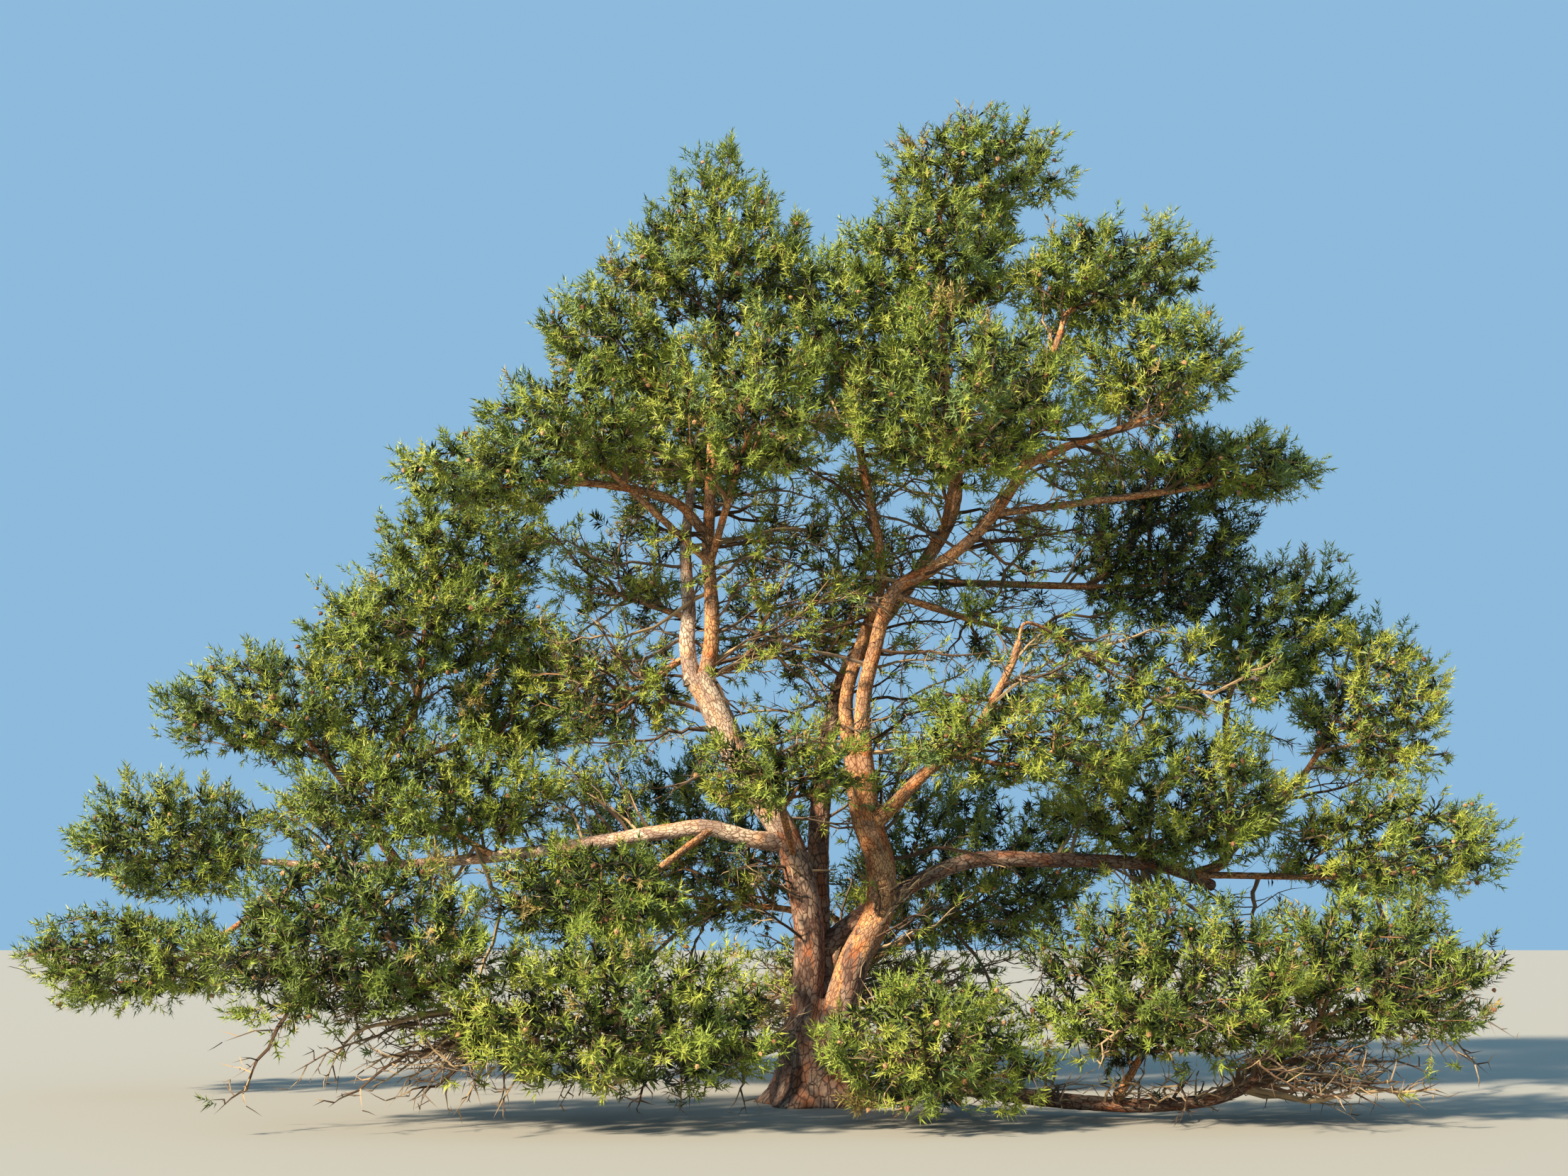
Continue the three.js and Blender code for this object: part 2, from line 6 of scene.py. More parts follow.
import json
import math
import bpy
import numpy as np
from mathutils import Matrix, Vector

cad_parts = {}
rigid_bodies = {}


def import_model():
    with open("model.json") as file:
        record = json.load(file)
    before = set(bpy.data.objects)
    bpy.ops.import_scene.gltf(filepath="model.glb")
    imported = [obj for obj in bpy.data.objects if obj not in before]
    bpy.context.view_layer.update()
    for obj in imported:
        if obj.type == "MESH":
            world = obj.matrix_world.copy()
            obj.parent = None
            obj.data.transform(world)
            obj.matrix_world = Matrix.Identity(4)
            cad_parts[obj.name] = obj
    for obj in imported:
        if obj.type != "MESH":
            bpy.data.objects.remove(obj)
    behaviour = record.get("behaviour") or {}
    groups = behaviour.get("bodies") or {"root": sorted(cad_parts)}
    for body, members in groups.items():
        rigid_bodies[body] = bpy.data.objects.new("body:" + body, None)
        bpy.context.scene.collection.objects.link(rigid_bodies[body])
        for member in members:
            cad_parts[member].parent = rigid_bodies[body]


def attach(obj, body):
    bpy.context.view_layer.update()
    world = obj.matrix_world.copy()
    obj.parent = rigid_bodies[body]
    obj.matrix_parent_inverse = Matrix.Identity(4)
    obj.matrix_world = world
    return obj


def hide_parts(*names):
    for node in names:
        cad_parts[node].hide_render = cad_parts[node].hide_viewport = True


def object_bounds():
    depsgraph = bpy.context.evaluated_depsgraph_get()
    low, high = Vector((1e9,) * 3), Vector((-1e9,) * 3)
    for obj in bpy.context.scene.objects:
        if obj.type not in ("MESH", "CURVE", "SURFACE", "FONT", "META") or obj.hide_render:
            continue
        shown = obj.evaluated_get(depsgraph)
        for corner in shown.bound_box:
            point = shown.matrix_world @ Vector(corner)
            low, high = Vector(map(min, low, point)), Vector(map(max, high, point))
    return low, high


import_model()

cad_box = [list(corner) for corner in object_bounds()]

MM = 0.001
UP = np.array([0.0, 0.0, 1.0])
GOLDEN_ANGLE = math.pi * (3 - math.sqrt(5))

# The trunk, as its solid has it.
TRUNK_HEIGHT = 1.0
TRUNK_RADIUS = 0.4
TRUNK_FLARE = 0.62
TRUNK_FLARE_HEIGHT = 0.24
BUTTRESSES = 5
BUTTRESS_DEPTH = 0.13

# Limbs: name, parent, foot and tip radius, bark, points.
LIMBS = [
    ("stem_left", None, 150, 140, "pink", [[-170, -20, 800], [-150, -30, 1760], [-340, -50, 2500],
        [-790, -150, 3240], [-1180, -200, 4030], [-1270, -200, 4170]]),
    ("stem_left_fork", None, 86, 45, "pink", [[-1310, -210, 4080], [-1370, -190, 4510], [-1360, -100, 4850],
        [-1410, 100, 5550], [-1380, 620, 6350]]),
    ("leader_left", None, 84, 42, "orange", [[-1215, -190, 4080], [-1130, -200, 4430], [-1120, -200, 4830],
        [-1170, -100, 5500], [-1160, 0, 5980], [-1120, 100, 7240], [-1100, 60, 7780]]),
    ("stem_centre", None, 132, 34, "rugged", [[20, 200, 800], [-40, 330, 1770], [-30, 450, 2680],
        [70, 500, 3630], [310, 600, 4390], [1090, 500, 5470], [1400, 400, 6030], [1430, 300, 6610],
        [1330, 200, 7210], [1300, 100, 9060]]),
    ("stem_right", None, 160, 145, "orange", [[130, -190, 800], [300, -260, 1370], [550, -200, 1860],
        [560, -200, 2320], [420, -200, 2780], [380, -200, 3190]]),
    ("stem_right_fork", None, 82, 36, "orange", [[325, -170, 3090], [240, 0, 3940], [380, 0, 4480],
        [610, -40, 5220], [500, -100, 6000], [300, -150, 7000]]),
    ("stem_right_leader", None, 86, 38, "orange", [[440, -230, 3090], [390, -300, 3830], [510, -300, 4400],
        [730, -350, 5030], [1090, -400, 5220], [1640, -500, 5670], [2050, -600, 6320], [2220, -700, 7080],
        [2420, -760, 7620]]),
    ("bough_left_high", "leader_left", 52, 36, "orange", [[-1500, -250, 5960], [-2200, -500, 6080],
        [-2560, -600, 6080]]),
    ("bough_right_high", "stem_right_leader", 50, 32, "orange", [[2480, -700, 6440], [2800, -800, 6520],
        [3180, -930, 6640]]),
    ("bough_right_low", "stem_right", 72, 34, "orange", [[1110, -500, 3270], [1400, -700, 3470],
        [1800, -860, 4150], [1900, -840, 4420]]),
    ("limb_left_low", "stem_left", 88, 34, "pink", [[-700, -160, 2550], [-1170, -240, 2660],
        [-1560, -200, 2620], [-2850, 200, 2450], [-3980, 800, 2360], [-5000, 1200, 2330],
        [-6180, 1350, 2400]]),
    ("stem_left_outer", "limb_left_low", 56, 30, "orange", [[-4760, 1230, 2800], [-4680, 1300, 3460],
        [-4410, 1400, 4070], [-4320, 1400, 5120], [-4230, 1350, 5420]]),
    ("limb_right_low", "stem_centre", 94, 62, "rugged", [[480, 240, 1860], [1420, 100, 2330],
        [2250, 200, 2360], [3520, 600, 2300], [4080, 880, 2120]]),
    ("stem_right_outer", "limb_right_low", 60, 32, "orange", [[4280, 1020, 2420], [4380, 1200, 3040],
        [4420, 1300, 4060], [4580, 1300, 4460]]),
    ("fork_right_outer", "stem_right_outer", 44, 32, "orange", [[4680, 1200, 2900], [5180, 1200, 3300],
        [5440, 1150, 3700]]),
    ("limb_front_left", "trunk", 92, 48, "rugged", [[-250, -150, 640], [-700, -800, 560],
        [-1800, -1600, 640], [-2650, -2080, 860], [-3180, -2280, 1080]]),
    ("limb_front_right", "trunk", 96, 52, "rugged", [[260, -150, 520], [760, -640, 330], [1760, -1200, 170],
        [2970, -1600, 120], [3600, -1800, 260], [4040, -1880, 620]]),
    ("limb_back", "trunk", 92, 50, "rugged", [[0, 200, 600], [60, 900, 980], [160, 1650, 1380],
        [200, 1900, 1620]]),
]

# Masses, by the piece that they are joined into: name, limb, centre, half sizes, and sprays of the
# solid. Then, where they aren't the usual ones: how full of needles it is, how much dead wood it
# holds, and how many bare boughs it has within it and from it to the ground.
MASSES = {
    "right": [
        ("right_top", "stem_centre", [1680, 100, 9630], [1040, 1050, 640], 7),
        ("right_upper", "stem_centre", [1100, -100, 8520], [980, 1200, 700], 7),
        ("right_shoulder", "stem_right_leader", [2970, -610, 8200], [1020, 1150, 610], 9),
        ("right_side", "bough_right_high", [3350, -950, 7100], [840, 1100, 590], 7, 1, 0.6, 4),
        ("right_reach", "stem_right_leader", [4250, -100, 6340], [1060, 900, 380], 7),
        ("right_dark", "stem_centre", [3720, 900, 5750], [970, 1150, 1380], 9, 1, 0.6, 6),
    ],
    "centre": [
        ("centre_upper", "stem_centre", [1310, -1400, 6650], [1230, 1150, 1060], 9, 1, 0.6, 4),
        ("centre_crown", "stem_right_fork", [120, -250, 7810], [1040, 1150, 780], 7),
        ("upper_back", "stem_centre", [1410, 1850, 7560], [1660, 1200, 870], 9, 0.8),
    ],
    "left": [
        ("left_top", "leader_left", [-1100, 50, 8400], [1320, 1050, 1790], 10, 0.85),
        ("left_shoulder", "leader_left", [-2110, 200, 7760], [930, 1150, 700], 7),
        ("left_side", "leader_left", [-2440, -850, 6560], [960, 1100, 580], 7, 1, 1.2, 5),
        ("left_inner", "leader_left", [-750, -1300, 6600], [1010, 1100, 930], 9, 1, 1.2, 4),
        ("left_reach", "bough_left_high", [-3360, -800, 6100], [980, 1050, 400], 7),
        ("left_back", "stem_left_fork", [-1650, 1800, 7090], [1350, 1200, 960], 7, 0.8, 0.6, 4),
    ],
    "middle": [
        ("mid_left", "stem_left_fork", [-2050, 750, 5420], [860, 1050, 900], 5, 0.3, 2.6, 8),
        ("mid_centre", "leader_left", [-210, 400, 5010], [1050, 1100, 1230], 5, 0.36, 2.6, 22),
        ("mid_right", "stem_right_leader", [2120, 200, 5000], [1050, 1050, 1000], 5, 0.16, 3, 14),
        ("mid_right_far", "bough_right_low", [3480, 200, 4160], [1300, 1000, 570], 7, 0.5, 1.4, 8),
        ("low_left", "stem_left", [-2240, 300, 4030], [930, 1050, 750], 7, 0.48, 1.6, 12),
        ("low_right", "bough_right_low", [1860, -800, 3420], [1220, 1050, 610], 7, 0.8, 0.6, 6),
        ("front_stems", "stem_left", [-460, -1210, 3120], [900, 600, 520], 7, 1, 0.6, 5),
    ],
    "outer_left": [
        ("outer_left_top", "stem_left_outer", [-3840, 1300, 5780], [1040, 1100, 750], 7),
        ("outer_left_upper", "stem_left_outer", [-4220, 850, 4770], [1350, 1300, 760], 9, 1, 0.6, 3),
        ("outer_left_side", "stem_left_outer", [-5660, 1300, 3980], [1520, 1150, 730], 9, 1, 0.6, 4),
        ("outer_left_inner", "stem_left_outer", [-3260, 1350, 4150], [860, 1150, 890], 7, 1, 0.6, 4),
        ("outer_left_mid", "limb_left_low", [-4030, 200, 2980], [1600, 1200, 700], 9, 1, 0.6, 3, 2),
        ("outer_left_far", "limb_left_low", [-7020, 1400, 2570], [1060, 1150, 800], 9),
        ("outer_left_low", "limb_left_low", [-7140, 900, 1300], [1270, 1050, 560], 7, 1, 1.2),
    ],
    "outer_right": [
        ("outer_right_top", "stem_right_outer", [5120, 1300, 4790], [960, 900, 1010], 7),
        ("outer_right_side", "fork_right_outer", [5910, 1100, 3970], [820, 1100, 1120], 7, 0.8, 0.6, 4),
        ("outer_right_mid", "limb_right_low", [3610, 350, 2920], [1300, 1150, 900], 9, 1, 0.6, 4),
        ("outer_right_far", "stem_right_outer", [5860, 550, 2440], [1170, 1150, 670], 7, 1, 0.6, 1, 3),
    ],
    "skirt": [
        ("skirt_left", "limb_front_left", [-4120, -2400, 1490], [1290, 1150, 980], 9, 0.95, 1.6, 6, 13),
        ("skirt_left_inner", "limb_left_low", [-2250, -1500, 1950], [930, 1000, 530], 7, 1, 0.6, 1, 4),
        ("skirt_front", "limb_front_left", [-1840, -2650, 880], [1630, 1100, 800], 9, 1, 1.8, 6, 13),
        ("skirt_centre", "limb_front_right", [870, -2500, 620], [1070, 1050, 690], 5, 0.85, 2.4, 5, 8),
        ("skirt_right", "limb_front_right", [2900, -2250, 1120], [1330, 1050, 860], 9, 1, 1.6, 6, 13),
        ("skirt_right_far", "limb_front_right", [4880, -1810, 1250], [1110, 1100, 780], 7, 0.9, 2.2, 6, 13),
    ],
    "back": [
        ("low_back_left", "limb_back", [-1590, 2600, 2450], [1650, 1300, 1260], 7, 1, 0.6, 4, 4),
        ("low_back_right", "limb_back", [1760, 2600, 2290], [1620, 1300, 1160], 7, 1, 0.6, 4, 4),
    ],
}

# Bare boughs that the stems have of their own: from and to which height, in metres, and how many.
STEM_BOUGHS = {
    "stem_left": (2.8, 4.1, 6), "stem_left_fork": (4.2, 6.3, 9), "leader_left": (4.2, 6.6, 12),
    "stem_centre": (2.6, 7.2, 22), "stem_right": (2.3, 3.2, 4), "stem_right_fork": (3.2, 6.9, 18),
    "stem_right_leader": (3.2, 6.8, 20), "bough_right_low": (3.3, 4.1, 6), "stem_left_outer": (2.8, 5.3, 6),
    "stem_right_outer": (2.5, 4.4, 5), "fork_right_outer": (2.9, 3.7, 3),
}

# Smaller boughs between the masses and down to the ground: limb, centre and half sizes of where they
# end, how many, the share of their twigs that carries a brush, and the region that they join.
BRIDGES = [
    ("stem_centre", [2150, 0, 8850], [400, 500, 350], 8, 0.9, "right"),
    ("stem_right_leader", [2550, -200, 7700], [400, 600, 300], 6, 0.9, "right"),
    ("bough_right_high", [2900, -300, 6250], [600, 700, 300], 10, 0.8, "right"),
    ("stem_centre", [600, 300, 6150], [700, 600, 350], 12, 0.5, "middle"),
    ("stem_right_fork", [300, 100, 6350], [450, 600, 250], 11, 0.8, "centre"),
    ("bough_right_low", [2150, -400, 4800], [800, 500, 400], 4, 0.5, "middle"),
    ("stem_right_leader", [2500, -200, 5600], [550, 500, 350], 7, 0.4, "middle"),
    ("stem_right", [900, 300, 3650], [450, 500, 550], 7, 0.4, "middle"),
    ("stem_left", [-700, -500, 2100], [600, 500, 500], 7, 0.08, "middle"),
    ("stem_right", [1200, -700, 2000], [900, 500, 400], 8, 0.08, "middle"),
    ("stem_right", [300, 300, 3800], [500, 500, 450], 5, 0.3, "middle"),
    ("limb_left_low", [-2500, 300, 3200], [700, 600, 250], 6, 0.6, "middle"),
    ("limb_left_low", [-5650, 900, 2950], [500, 600, 300], 7, 0.8, "outer_left"),
    ("stem_right_outer", [4880, 800, 3150], [450, 600, 500], 6, 0.7, "outer_right"),
    ("limb_right_low", [3700, 600, 1950], [900, 700, 250], 12, 0.6, "outer_right"),
    ("limb_back", [-700, 1300, 1300], [900, 600, 800], 14, 0.4, "back"),
    ("limb_back", [1600, 1300, 1200], [1000, 600, 800], 14, 0.4, "back"),
    ("limb_back", [300, 1800, 2400], [600, 600, 800], 8, 0.8, "back"),
    ("limb_back", [0, 2300, 600], [2200, 900, 500], 16, 0.06, "back"),
    ("limb_front_right", [4500, -1900, 480], [1300, 700, 420], 18, 0.03, "skirt"),
    ("limb_front_right", [2700, -1900, 380], [1300, 600, 330], 14, 0.04, "skirt"),
    ("limb_front_right", [800, -1900, 350], [900, 600, 300], 12, 0.04, "skirt"),
    ("limb_front_left", [-3700, -2300, 550], [1500, 700, 450], 18, 0.03, "skirt"),
    ("limb_front_left", [-1700, -2300, 400], [1300, 700, 350], 16, 0.04, "skirt"),
    ("limb_left_low", [-5600, 900, 1250], [1300, 900, 600], 6, 0.1, "outer_left"),
    ("limb_right_low", [4500, 900, 1050], [1300, 900, 600], 6, 0.1, "outer_right"),
]

# The solids' growth rule.
WORD = 0xFFFFFFFF  # their source draws whole numbers of 32 bits
CURVE_STEPS = 40  # from one point of a curve to the next
BRANCH_RUN = 0.7
BRANCH_RUN_MOST = 0.9
LIMB_MARGIN = 0.03
TIP_SHARE = 0.95
TIP_LEAD = 0.2  # longer than in the solids, for a rounder bend
SPACE_MARGIN = 0.06
UNDERSIDE = 0.75
CONE_SHAPED = "left_top"
HEART_DROP = 0.3
HEART_REACH = 0.42
STEM_REACH = 0.45
STEM_RISE = 0.35
STEM_SHARE = 0.8
STEM_FOOT_MOST = 0.038
STEM_FOOTS = {"mid_right_far": 0.018}
STEM_JOINTS = 12
LOWEST_SPRAY = -0.5
PATH_WEIGHT = 0.35

# What goes on finer than the solids: twigs, brushes of needles, cones.
LIMB_STEP = 0.05  # between the places where the distance from a limb is measured
CLUSTERS = 31  # clusters of brushes for a mass of one metre's half size
CLUSTER_SPACING = 0.6  # the widest spacing tried first
CLUSTER_LENGTH = 0.17  # along the way that it points, out and up
CLUSTER_WIDTH = 0.1
CLUSTER_RISE = 0.8
CLUSTER_LOWEST = -0.8
CLUSTER_TRIES = 4000
CLUSTER_CLEAR = 0.08  # from the middle of a cluster to the nearest limb
BRUSHES = 18  # in a cluster
OVERREACH = 1.2  # a brush may stand this far out of its mass's space
PROBE_REACH = 0.8  # a cluster is in the open if a point this far out from it is in no mass's space
PROBES = [[0, 0, 1], [1, 0, 0.3], [-1, 0, 0.3], [0, 1, 0.3], [0, -1, 0.3],
          [0.7, -0.7, 0], [-0.7, -0.7, 0], [0.7, 0.7, 0], [-0.7, 0.7, 0]]
BOX_SHARE = 0.025  # of the solids' box, by which the tree may stand out of it
LOWEST_TWIG = 0.02
BRUSH_REACH = 0.15
LOWEST_BRUSH = 0.17
BRUSH_CLEAR = 0.07  # from a brush to the nearest limb
MOST_JOINTS = 9000
CLOSED = 9  # metres added to the cost of a joint that no twig may leave
TWIG_SAG = 0.12
TWIG_WANDER = 0.1
DEAD_SAG = 0.05
DEAD_WANDER = 0.24
DEAD_FOOT = 0.02
TWIG_STEP = 0.2
TURN_WEIGHT = 0.5
TWIG_TIP = 0.003
TWIG_POWER = 0.46
DEAD_TWIG_TIP = 0.0046
STOUT_TWIG = 0.009
BARE_TWIGS = 70  # for a mass of one metre's half size
BOUGH_STEP = 0.14
BOUGH_FOOT = 0.023
BARE_TIP = 0.0042
BARE_CLEAR = 0.03
FAN_GAP = 0.085  # between side twigs, along a bare bough
FAN_REACH = 0.42
BARE_REACH = {"middle": 1.4, "skirt": 1.12}  # how far out bare boughs go, in the mass's half sizes
TUFT_SHARE = {"middle": 0.25}  # side twigs that still carry a brush
STEM_BOUGH_REACH = (0.8, 1.9)
STEM_TUFT_SHARE = 0.22
STUB_GAP = 0.4  # between broken stubs, along a stem
STUB_LENGTHS = (0.04, 0.07, 0.12, 0.3, 0.45)
STUB_SHARES = (0.3, 0.25, 0.2, 0.15, 0.1)
STEM_SEED = 77
SHOOTS = 2  # in a brush: its end and one beside it
SHOOT_LENGTH = 0.11
SIDE_SHOOT = 0.8
NEEDLES_PER_SHOOT = 12
NEEDLE_LENGTH = 0.08
NEEDLE_WIDTH = 0.0155
INNER_NEEDLES = 10  # on each joint of the thin wood further in, broader, and darker with painted shade
INNER_LENGTH = 0.125
INNER_WIDTH = 0.034
INNER_SPOTS = 58  # twigs inside a mass of one metre's half size that end in such needles
INNER_SHARE = {"skirt": 1.7, "right": 1.3, "outer_right": 1.2, "outer_left": 1.2}
INNER_TRIES = 2500
INNER_LEVEL = 0.72  # how far out they are at most, 1 at the mass's outside
INNER_CLEAR = 0.1
INNER_TUFT = 32
INNER_SHADE = 0.6  # share in the shade green, which is painted shade; the rest are deep green
THIN_WOOD = 14  # ends that it carries at most
CONE_LENGTH = 0.056
CONE_SHARE = 0.085

# Bark kinds: colours of the plates, the cracks, the patches and the odd plates, and the depth of the
# relief.
BARKS = {
    "rugged": ((158, 134, 114), (72, 46, 35), (152, 94, 62), (116, 92, 78), 0.011),
    "pink": ((214, 192, 168), (110, 80, 60), (198, 150, 112), (160, 138, 122), 0.006),
    "orange": ((202, 152, 104), (100, 60, 38), (182, 110, 64), (164, 128, 98), 0.004),
}
# Stems whose rugged bark ends at a height, and the bark above it.
BARK_CHANGES = {"stem_left": (2.7, "pink"), "stem_right": (1.35, "orange"), "stem_centre": (4.6, "orange")}
RELIEF_SHARE = 0.13  # the relief is no deeper than this share of the radius
COLLAR = 0.35  # how much thicker a limb is where it leaves another
STEM_COLLAR = 0.12  # and where a stem rises from the trunk
COLLAR_REACH = 2.2  # in radii of its foot
PLATE_WIDTH = 0.065
PLATE_LENGTH = 0.14
NOISE_LENGTH = 4096
TRUNK_SEED = 7
# Sides of the rings of points round the wood, and how far apart the rings are. A limb has those of
# the first row whose radius, in millimetres, its foot is thicker than.
TRUNK_RINGS = (96, 0.022)
LIMB_RINGS = [(120, 32, 0.034), (70, 20, 0.042), (0, 14, 0.042)]
MASS_STEM_RINGS = (10, 0.05)

# Greens are dealt out by brush: the sunny green, yellowish, is painted sunlight where the sun is; bluish
# low down; a few dry ones; the shade green, near black, is painted shade.
GREENS = {
    "sunny": (151, 157, 64), "leaf": (131, 145, 57), "deep": (97, 112, 45), "bluish": (109, 130, 71),
    "dry": (150, 132, 76), "shade": (22, 31, 15),
}
OWN_TONE = 0.4  # brushes with a tone of their own, apart from their cluster's
TONE_SHARES = {
    "right": (0.3, 0.38, 0.2, 0.1, 0.02, 0), "centre": (0.3, 0.38, 0.2, 0.1, 0.02, 0),
    "left": (0.28, 0.4, 0.22, 0.08, 0.02, 0), "middle": (0.3, 0.38, 0.14, 0.16, 0.02, 0),
    # outer_right takes more of the sunny green: painted sunlight that lifts it out of the tree's own
    # shadow.
    "outer_left": (0.22, 0.42, 0.26, 0.08, 0.02, 0), "outer_right": (0.48, 0.36, 0.08, 0.06, 0.02, 0),
    "skirt": (0.14, 0.34, 0.38, 0.04, 0.08, 0.02), "back": (0.2, 0.4, 0.25, 0.13, 0.02, 0),
    # right_dark takes mostly deep green and the shade green: painted shade that darkens that mass.
    "right_dark": (0.02, 0.1, 0.48, 0, 0, 0.4), "skirt_front": (0.34, 0.36, 0.18, 0.02, 0.1, 0),
    "skirt_left": (0.06, 0.26, 0.52, 0, 0.09, 0.07), "skirt_right": (0.06, 0.28, 0.5, 0, 0.09, 0.07),
    "skirt_right_far": (0.06, 0.28, 0.5, 0, 0.09, 0.07),
}
TWIG_BARKS = {"brown": (104, 80, 60), "orange": (146, 108, 76)}
# The dark dead wood is painted shade, for twigs seen against the light; the middle takes the most of it.
DEAD_BARKS = {"tan": (160, 136, 102), "grey": (108, 92, 76), "dark": (82, 62, 46)}
DEAD_SHARES = {"middle": (0.25, 0.3, 0.45), "skirt": (0.4, 0.4, 0.2), "back": (0.2, 0.4, 0.4)}
CONE_COLOURS = {"fresh": (172, 132, 92), "old": (124, 84, 58)}
PAINT_SHARES = {2: (0.5, 0.5), 3: (0.4, 0.4, 0.2)}  # by how many colours there are


def first_draw(seed):
    """What the generator of the solids' source gives first for a seed, from 0 to 1."""
    state = (seed + 0x6D2B79F5) & WORD
    mixed = ((state ^ (state >> 15)) * (1 | state)) & WORD
    mixed ^= (mixed + (mixed ^ (mixed >> 7)) * (61 | mixed)) & WORD
    return (mixed ^ (mixed >> 14)) / (WORD + 1)


def unit(v):
    v = np.asarray(v, float)
    return v / np.maximum(np.linalg.norm(v, axis=-1, keepdims=True), 1e-9)


class Curve:
    """A centripetal curve through points, read by its share of the length."""

    def __init__(self, points):
        points = np.asarray(points, float)
        padded = np.vstack([2 * points[0] - points[1], points, 2 * points[-1] - points[-2]])
        t = np.linspace(0, 1, CURVE_STEPS + 1)[1:, None]
        runs = [points[:1]]
        for i in range(len(points) - 1):
            p0, p1, p2, p3 = padded[i : i + 4]
            d0, d1, d2 = (math.sqrt(np.linalg.norm(b - a)) for a, b in ((p0, p1), (p1, p2), (p2, p3)))
            m1 = ((p1 - p0) / d0 - (p2 - p0) / (d0 + d1) + (p2 - p1) / d1) * d1
            m2 = ((p2 - p1) / d1 - (p3 - p1) / (d1 + d2) + (p3 - p2) / d2) * d1
            c2 = -3 * p1 + 3 * p2 - 2 * m1 - m2
            c3 = 2 * p1 - 2 * p2 + m1 + m2
            runs.append(p1 + m1 * t + c2 * t**2 + c3 * t**3)
        self.dense = np.vstack(runs)
        self.along = np.concatenate([[0], np.cumsum(np.linalg.norm(np.diff(self.dense, axis=0), axis=1))])
        self.length = self.along[-1]

    def at(self, share):
        s = np.asarray(share) * self.length
        return np.stack([np.interp(s, self.along, self.dense[:, k]) for k in range(3)], axis=-1)

    def tangent(self, share):
        share = np.asarray(share, float)
        return unit(self.at(np.minimum(share + 0.005, 1)) - self.at(np.maximum(share - 0.005, 0)))

    def nearest(self, point):
        shares = np.linspace(0, 1, 101)
        distances = np.linalg.norm(self.at(shares) - point, axis=1)
        best = int(np.argmin(distances))
        return shares[best], distances[best]


def start_on(parent, point):
    """Where a branch to a point leaves its parent, as a share of the parent's length."""
    share, distance = parent.nearest(point)
    return max(0.02, share - min(BRANCH_RUN * distance, BRANCH_RUN_MOST) / parent.length)


# Limbs: their curves and radii, each from its parent's centre line.
curves = {"trunk": Curve([[0, 0, 0], [0, 0, TRUNK_HEIGHT]])}
radii = {"trunk": (TRUNK_RADIUS, TRUNK_RADIUS)}
for name, parent, foot, tip, bark, through in LIMBS:
    points = np.array(through) * MM
    if parent:
        points = np.vstack([curves[parent].at(start_on(curves[parent], points[0])), points])
    curves[name] = Curve(points)
    radii[name] = (foot * MM, tip * MM)


def limb_radius(name, share):
    foot, tip = radii[name]
    return foot + (tip - foot) * share


limb_points = []
limb_widths = []
for name in curves:
    shares = np.linspace(0, 1, max(2, int(curves[name].length / LIMB_STEP)))
    limb_points.append(curves[name].at(shares))
    limb_widths.append(limb_radius(name, shares))
limb_points = np.vstack(limb_points)
limb_widths = np.concatenate(limb_widths)


def clearance(points):
    """How far each point is from the nearest limb's surface."""
    gaps = []
    for part in np.array_split(points, len(points) // 2000 + 1):
        gaps.append((np.linalg.norm(part[:, None] - limb_points, axis=2) - limb_widths).min(axis=1))
    return np.concatenate(gaps)


class Mass:
    def __init__(self, index, piece, name, limb, at, half, sprays, full=1.0, dead=0.6, bare=1, to_ground=0):
        self.piece, self.name, self.limb, self.sprays = piece, name, limb, sprays
        self.full, self.dead, self.bare, self.to_ground = full, dead, bare, to_ground
        self.centre = np.array(at) * MM
        self.half = np.array(half) * MM
        self.mean_half = float(np.cbrt(np.prod(self.half)))
        self.cone = name == CONE_SHAPED
        self.seed = 101 + 17 * index

    def level(self, points):
        """Below 1 inside the mass's space: an ellipsoid with a flatter underside, or a cone on top."""
        x, y = ((points[..., k] - self.centre[k]) / self.half[k] for k in (0, 1))
        up = points[..., 2] - self.centre[2]
        below = up / ((self.half[0] if self.cone else self.half[2]) * UNDERSIDE)
        above = (up / self.half[2]) ** 2
        level = x * x + y * y + np.where(up < 0, below**2, above)
        if self.cone:
            level = np.where(up > 0, (np.hypot(x, y) + up / self.half[2]) ** 2, level)
        return level

    def place(self, tries):
        """Points of a ball of radius one as points of the mass's space."""
        return self.centre + tries * np.where(tries[:, 2:] < 0, [1, 1, UNDERSIDE], [1, 1, 1]) * self.half

    def wanted(self, density):
        return density * self.mean_half**2


masses = []
for piece, rows in MASSES.items():
    for row in rows:
        masses.append(Mass(len(masses), piece, *row))

box_sides = np.subtract(cad_box[1], cad_box[0])
box_low = np.array(cad_box[0]) - BOX_SHARE * box_sides
box_high = np.array(cad_box[1]) + BOX_SHARE * box_sides
box_low[2] = LOWEST_TWIG
reach_low = box_low + BRUSH_REACH
reach_high = box_high - BRUSH_REACH
reach_low[2] = LOWEST_BRUSH


def in_box(point):
    return bool(np.all(point > box_low) and np.all(point < box_high))


def in_reach(points):
    return np.all((points > reach_low) & (points < reach_high), axis=-1)


def has_room(point):
    """Whether a brush fits round a point, within the box and off the limbs."""
    return bool(in_reach(point)) and clearance(point[None])[0] > BRUSH_CLEAR


def in_space(mass, points, most=1):
    """Whether points are in a mass's space, above the ground and not more in another mass's."""
    own = mass.level(points)
    inside = (own <= most) & (points[..., 2] > LIMB_MARGIN)
    for other in masses:
        if other is not mass:
            inside &= other.level(points) > own + SPACE_MARGIN
    return inside


tips_taken = set()


